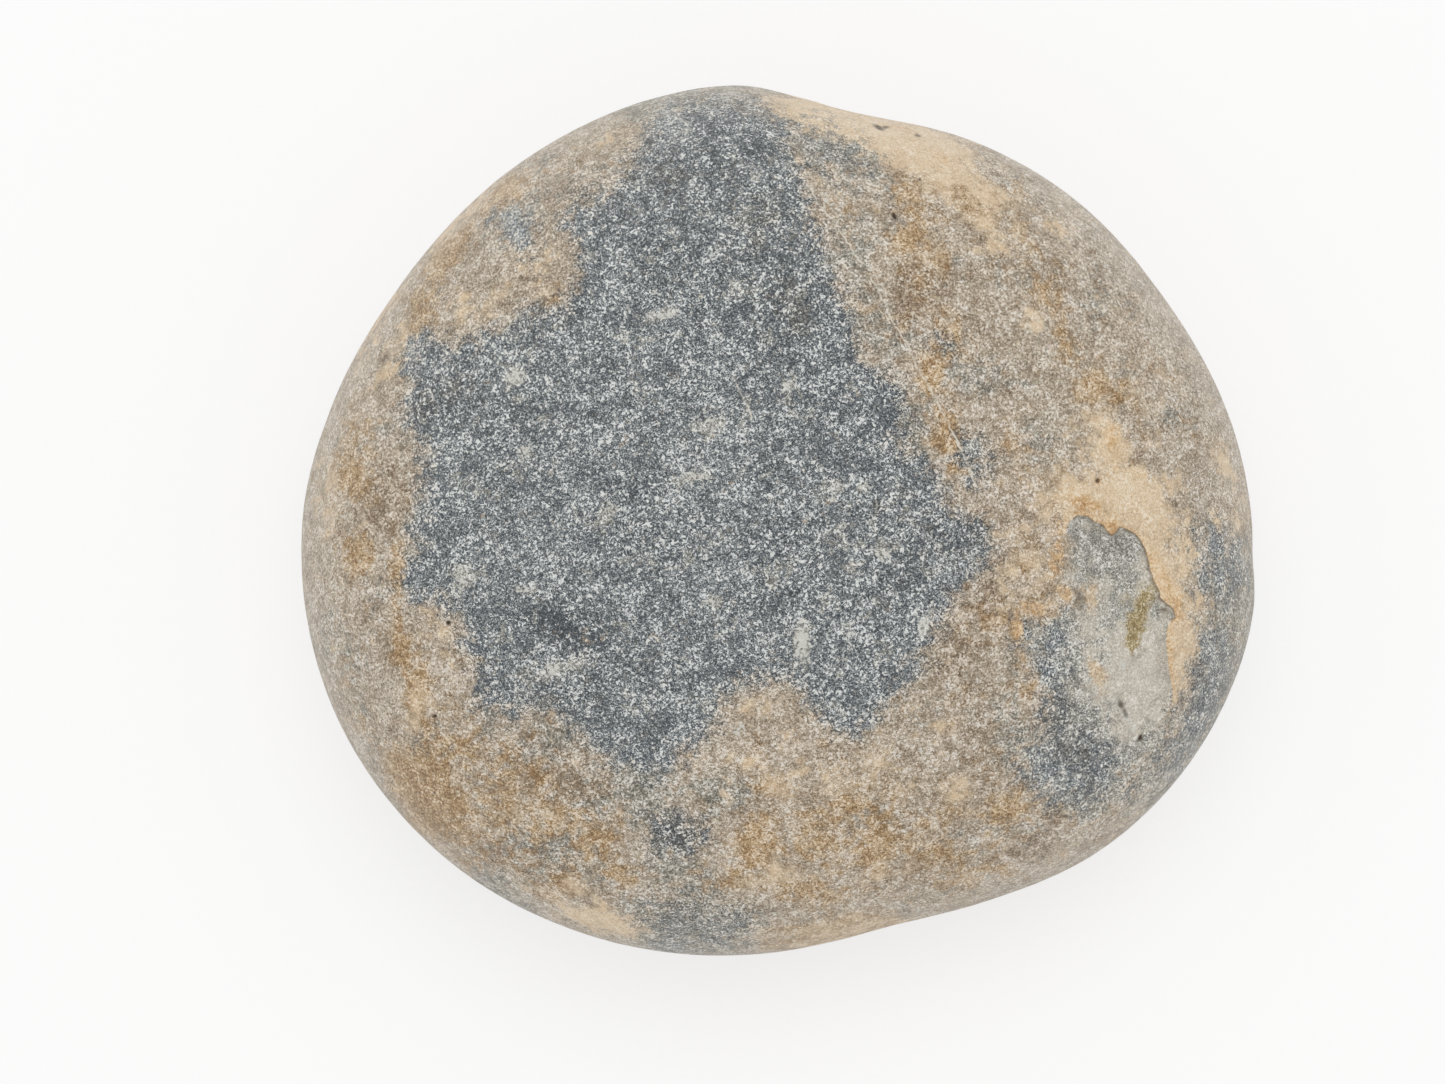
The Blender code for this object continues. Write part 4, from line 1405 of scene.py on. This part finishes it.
@dataclass
class SkinRelief:
    """Geometry Nodes that press small pecks into the skin and roughen it.

    Attributes:
        peck_density: Pecks for each square metre.
        peck_radius: Radius of the largest pecks, in mm.
        smallest_peck: Radius of the smallest pecks, as a share of the largest.
        peck_depth: Depth of the pecks, in mm.
        peck_wall: How the depth falls off, by the share of the peck's radius.
        grain_size: Size of the skin's unevenness, in mm.
        grain_depth: Depth of the skin's unevenness, in mm.
        grain_detail: How many finer noises lie over the unevenness.
        cloud_detail: How many finer noises lie over the clouds.
        cloud_steps: From one cloud's noise to the next, in metres.
        seed: Seed of the scatter.
    """

    peck_density: float = 9000.0
    peck_radius: float = 0.9
    smallest_peck: float = 0.35
    peck_depth: float = 0.10
    peck_wall: Band = Band(0.1, 1.0, 1.0, 0.0)
    grain_size: float = 2.2
    grain_depth: float = 0.08
    grain_detail: float = 2.0
    cloud_detail: float = 1.0
    cloud_steps: tuple[float, float, float] = (0.3, 0.7, 0.2)
    seed: int = 7

    def tree(self) -> bpy.types.GeometryNodeTree:
        """Build the node tree.

        Returns:
            The tree, with its sizes as named inputs.
        """
        tree = bpy.data.node_groups.new("skin_relief", "GeometryNodeTree")
        face = tree.interface
        face.new_socket("Geometry", in_out="INPUT", socket_type="NodeSocketGeometry")
        for name in ("Peck Density", "Peck Radius", "Peck Depth", "Grain Size", "Grain Depth"):
            face.new_socket(name, in_out="INPUT", socket_type="NodeSocketFloat")
        face.new_socket("Seed", in_out="INPUT", socket_type="NodeSocketInt")
        face.new_socket("Material", in_out="INPUT", socket_type="NodeSocketMaterial")
        face.new_socket("Geometry", in_out="OUTPUT", socket_type="NodeSocketGeometry")

        board = Board(tree)
        given = board.node("NodeGroupInput").outputs
        peck = self.peck_share(board, given)
        depth = board.math("ADD", board.product(peck, given["Peck Depth"]),
                           board.product(self.grain_share(board, given), given["Grain Depth"]))
        free = board.node("GeometryNodeInputNamedAttribute", {"Name": FREE}, data_type="FLOAT")
        depth = board.product(depth, free.outputs["Attribute"], -1.0)

        normal = board.node("GeometryNodeInputNormal").outputs["Normal"]
        feeds = {"Geometry": given["Geometry"], "Offset": board.scaled(normal, depth)}
        geometry = board.node("GeometryNodeSetPosition", feeds).outputs["Geometry"]
        geometry = self.keep(board, geometry, Mark.PECK.value, peck)
        for number, cloud in enumerate(Cloud, start=1):
            value = self.cloud_value(board, cloud, number)
            geometry = self.keep(board, geometry, cloud.title, value)

        feeds = {"Geometry": geometry}
        real = board.node("GeometryNodeRealizeInstances", feeds).outputs["Geometry"]
        feeds = {"Geometry": real, "Material": given["Material"]}
        dressed = board.node("GeometryNodeSetMaterial", feeds).outputs["Geometry"]
        board.node("NodeGroupOutput", {"Geometry": dressed})
        return tree

    def keep(self, board: Board, geometry: Wire, name: str, value: Wire) -> Wire:
        """Store one number at each vertex.

        Args:
            board: The tree's board.
            geometry: The mesh.
            name: Name to store it under.
            value: The number.

        Returns:
            The mesh with the number.
        """
        feeds = {"Name": name, "Geometry": geometry, "Value": value}
        store = board.node("GeometryNodeStoreNamedAttribute", feeds, data_type="FLOAT",
                           domain="POINT")
        return store.outputs["Geometry"]

    def cloud_value(self, board: Board, cloud: Cloud, number: int) -> Wire:
        """One cloud's noise at each vertex.

        Args:
            board: The tree's board.
            cloud: The cloud.
            number: The cloud's number, which keeps it unlike the others.

        Returns:
            The noise, about zero.
        """
        place = board.node("GeometryNodeInputPosition").outputs[0]
        place = board.shifted(place, self.cloud_steps, number)
        return board.centred(board.raw_noise(place, 1.0 / (cloud.size * MM), self.cloud_detail))

    def peck_share(self, board: Board, given: bpy.types.NodeOutputs) -> Wire:
        """How deep each vertex is in the nearest peck, from 0 to 1.

        Args:
            board: The tree's board.
            given: The tree's inputs.

        Returns:
            The share.
        """
        seed = given["Seed"]
        feeds = {"Mesh": given["Geometry"], "Density": given["Peck Density"], "Seed": seed}
        points = board.node("GeometryNodeDistributePointsOnFaces", feeds,
                            distribute_method="RANDOM").outputs["Points"]
        feeds = {"Geometry": points}
        nearest = board.node("GeometryNodeSampleNearest", feeds, domain="POINT").outputs["Index"]
        here = board.node("GeometryNodeInputPosition").outputs[0]
        feeds = {"Geometry": points, "Value": here, "Index": nearest}
        place = board.node("GeometryNodeSampleIndex", feeds, data_type="FLOAT_VECTOR",
                           domain="POINT").outputs["Value"]
        feeds = {0: here, 1: place}
        gap = board.node("ShaderNodeVectorMath", feeds, operation="DISTANCE").outputs["Value"]

        # Of this node's inputs, 2 and 3 are the least and the most, and output 1 is the number.
        feeds = {2: self.smallest_peck, 3: 1.0, "ID": nearest, "Seed": seed}
        size = board.node("FunctionNodeRandomValue", feeds, data_type="FLOAT").outputs[1]
        radius = board.product(size, given["Peck Radius"])
        return board.band(board.math("DIVIDE", gap, radius), self.peck_wall)

    def grain_share(self, board: Board, given: bpy.types.NodeOutputs) -> Wire:
        """Unevenness of the skin at each vertex, from 0 to about 1.

        Args:
            board: The tree's board.
            given: The tree's inputs.

        Returns:
            The share.
        """
        place = board.node("GeometryNodeInputPosition").outputs[0]
        scale = board.math("DIVIDE", 1.0, given["Grain Size"])
        return board.raw_noise(place, scale, self.grain_detail).outputs["Fac"]

    def press(self, piece: bpy.types.Object, material: bpy.types.Material) -> bpy.types.Object:
        """Press the relief into a piece.

        Args:
            piece: The smooth piece, which is used up.
            material: The material that the result takes.

        Returns:
            A plain mesh object of the same name.
        """
        tree = self.tree()
        modifier = piece.modifiers.new("skin_relief", "NODES")
        modifier.node_group = tree
        values = {
            "Peck Density": self.peck_density,
            "Peck Radius": self.peck_radius * MM,
            "Peck Depth": self.peck_depth * MM,
            "Grain Size": self.grain_size * MM,
            "Grain Depth": self.grain_depth * MM,
            "Seed": self.seed,
            "Material": material,
        }
        for item in tree.interface.items_tree:
            if item.in_out == "INPUT" and item.name in values:
                modifier[item.identifier] = values[item.name]
        bpy.context.view_layer.update()
        graph = bpy.context.evaluated_depsgraph_get()
        data = bpy.data.meshes.new_from_object(piece.evaluated_get(graph), depsgraph=graph)
        piece.modifiers.remove(modifier)
        plain = piece.data
        piece.data = data
        bpy.data.meshes.remove(plain)
        return piece


# ---- The stone -------------------------------------------------------------------------------

@dataclass
class NoduleStone:
    """The stone itself, as one dense closed mesh with its marks and its finish."""

    name: str = "nodule_skin"
    node: str = "nodule"
    slot: str = "nodule_stone"
    form: NoduleForm = field(default_factory=NoduleForm)
    marks: SkinMarks = field(default_factory=SkinMarks)
    relief: SkinRelief = field(default_factory=SkinRelief)
    finish: StoneFinish = field(default_factory=StoneFinish)

    # How fine the mesh is: the longest edge, in mm, in each region.
    base_subdivisions: int = 7
    crown_edge: float = 0.62
    crown_reach: float = 44.0
    scar_edge: float = 0.42
    ledge_edge: float = 0.24
    ledge_band: float = 0.7
    pit_edge: float = 0.16
    pit_margin: float = 1.5         # how far round a pit that holds, in its own reaches
    passes: int = 3

    # The small relief keeps off the rest flat: heights above the floor, in mm.
    flat_margin: float = 0.1
    flat_fade: float = 0.6

    def build(self) -> bpy.types.Object:
        """Make the stone, dress it and place it in the frame.

        Returns:
            The finished piece.
        """
        mesh = bmesh.new()
        bmesh.ops.create_icosphere(mesh, subdivisions=self.base_subdivisions, radius=1.0)
        for _ in range(self.passes):
            self.refine(mesh)
        places, plan = self.form.place(self.directions(mesh))
        places = self.form.rest(places)

        data = bpy.data.meshes.new(self.name)
        mesh.to_mesh(data)
        mesh.free()
        data.vertices.foreach_set("co", (places * MM).astype(np.float32).ravel())
        for mark, values in self.marks.measure(plan, self.form).items():
            self.store(data, mark.value, values)
        free = ramp((places[:, 2] - self.flat_margin) / self.flat_fade)
        self.store(data, FREE, free)
        data.shade_smooth()
        data.update()

        stone = bpy.data.objects.new(self.name, data)
        bpy.context.scene.collection.objects.link(stone)
        stone = self.relief.press(stone, self.finish.material())
        stone.data.shade_smooth()
        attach(stone, "root")
        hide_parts(self.node)
        LOG.info("%s: %d vertices, %d faces", self.name, len(stone.data.vertices),
                 len(stone.data.polygons))
        return stone

    def directions(self, mesh: bmesh.types.BMesh) -> np.ndarray:
        """Unit directions of a mesh's vertices, one in each row."""
        directions = np.array([vertex.co[:] for vertex in mesh.verts])
        return directions / np.linalg.norm(directions, axis=1, keepdims=True)

    def wanted_edge(self, places: np.ndarray) -> np.ndarray:
        """Longest edge allowed at places on the stone.

        Args:
            places: One place in each row, in mm.

        Returns:
            One length for each place, in mm.
        """
        x, y, upper = places[:, 0], places[:, 1], places[:, 2] > 0.0
        edge = path_distance(x, y, self.form.scar + self.form.scar[:1])
        wanted = np.where(np.hypot(x, y) < self.crown_reach, self.crown_edge, np.inf)
        wanted = np.where(is_inside(x, y, self.form.scar), self.scar_edge, wanted)
        wanted = np.where(edge < self.ledge_band, self.ledge_edge, wanted)
        for pit in self.form.pits:
            wanted = np.where(pit.reach(x, y) < self.pit_margin, self.pit_edge, wanted)
        return np.where(upper, wanted, np.inf)

    def refine(self, mesh: bmesh.types.BMesh) -> None:
        """Cut the edges that are too long, and keep the vertices on the unit ball.

        Args:
            mesh: The ball of directions.
        """
        mesh.verts.index_update()
        places, _ = self.form.place(self.directions(mesh))
        edges = list(mesh.edges)
        ends = np.array([[vertex.index for vertex in edge.verts] for edge in edges])
        first, second = places[ends[:, 0]], places[ends[:, 1]]
        length = np.linalg.norm(first - second, axis=1)
        too_long = length > self.wanted_edge((first + second) / 2.0)
        cut = [edge for edge, is_long in zip(edges, too_long) if is_long]
        bmesh.ops.subdivide_edges(mesh, edges=cut, cuts=1, use_grid_fill=True)
        bmesh.ops.triangulate(mesh, faces=mesh.faces)
        for vertex in mesh.verts:
            vertex.co.normalize()

    def store(self, data: bpy.types.Mesh, name: str, values: np.ndarray) -> None:
        """Store one number for each vertex of a mesh under a name."""
        attribute = data.attributes.new(name, "FLOAT", "POINT")
        attribute.data.foreach_set("value", values.astype(np.float32))


# ---- The studio ------------------------------------------------------------------------------

@dataclass
class Studio:
    """Pale floor, soft light and the camera, which looks straight down on the stone."""

    floor_half: float = 3.0           # metres
    floor_drop: float = 0.00005       # metres below the rest flat
    floor_tone: float = 0.42
    floor_glow: float = 0.59
    sky_strength: float = 0.68
    key_power: float = 7.3            # watts
    key_size: float = 1.1             # metres across
    key_place: tuple[float, float, float] = (-0.02, 0.45, 1.6)      # metres
    girdle_height: float = 22.0       # mm
    camera_distance: float = 421.7    # mm above the girdle
    camera_x: float = -5.83           # mm
    camera_y: float = -2.24           # mm
    lens: float = 100.0               # mm
    sensor_width: float = 36.0        # mm
    near_clip: float = 0.01           # metres

    def build(self) -> None:
        """Make the floor, the light and the camera."""
        self.floor()
        self.light()
        self.camera()
        bpy.context.scene.view_settings.view_transform = "Standard"

    def floor(self) -> bpy.types.Object:
        """Make the pale floor.

        Returns:
            The floor's object.
        """
        half = self.floor_half
        data = bpy.data.meshes.new("floor")
        corners = ((-half, -half), (half, -half), (half, half), (-half, half))
        data.from_pydata([(x, y, -self.floor_drop) for x, y in corners], [], [(0, 1, 2, 3)])
        floor = bpy.data.objects.new("floor", data)
        bpy.context.scene.collection.objects.link(floor)

        material = bpy.data.materials.new("pale_floor")
        material.use_nodes = True
        shader = material.node_tree.nodes["Principled BSDF"]
        shader.inputs["Base Color"].default_value = (self.floor_tone,) * 3 + (1.0,)
        shader.inputs["Roughness"].default_value = 1.0
        shader.inputs["Specular IOR Level"].default_value = 0.0
        shader.inputs["Emission Color"].default_value = (1.0, 1.0, 1.0, 1.0)
        shader.inputs["Emission Strength"].default_value = self.floor_glow
        data.materials.append(material)
        LOG.info("floor: %.1f m square", 2.0 * half)
        return floor

    def light(self) -> None:
        """Make the even sky and the soft key light."""
        world = bpy.data.worlds.new("soft_sky")
        world.use_nodes = True
        sky = world.node_tree.nodes["Background"]
        sky.inputs["Color"].default_value = (1.0, 1.0, 1.0, 1.0)
        sky.inputs["Strength"].default_value = self.sky_strength
        bpy.context.scene.world = world

        lamp = bpy.data.lights.new("key_light", "AREA")
        lamp.shape = "DISK"
        lamp.size = self.key_size
        lamp.energy = self.key_power
        key = bpy.data.objects.new("key_light", lamp)
        key.location = self.key_place
        aim = -key.location.normalized()
        key.rotation_euler = aim.to_track_quat("-Z", "Y").to_euler()
        bpy.context.scene.collection.objects.link(key)

    def camera(self) -> None:
        """Make the camera, straight above the stone."""
        data = bpy.data.cameras.new("camera")
        data.lens = self.lens
        data.sensor_width = self.sensor_width
        data.clip_start = self.near_clip
        camera = bpy.data.objects.new("camera", data)
        height = self.girdle_height + self.camera_distance
        camera.location = (self.camera_x * MM, self.camera_y * MM, height * MM)
        bpy.context.scene.collection.objects.link(camera)
        bpy.context.scene.camera = camera


def main() -> None:
    """Build the stone and the studio round it."""
    logging.basicConfig(level=logging.INFO, format="%(name)s: %(message)s")
    NoduleStone().build()
    Studio().build()


if __name__ == "__main__":
    main()
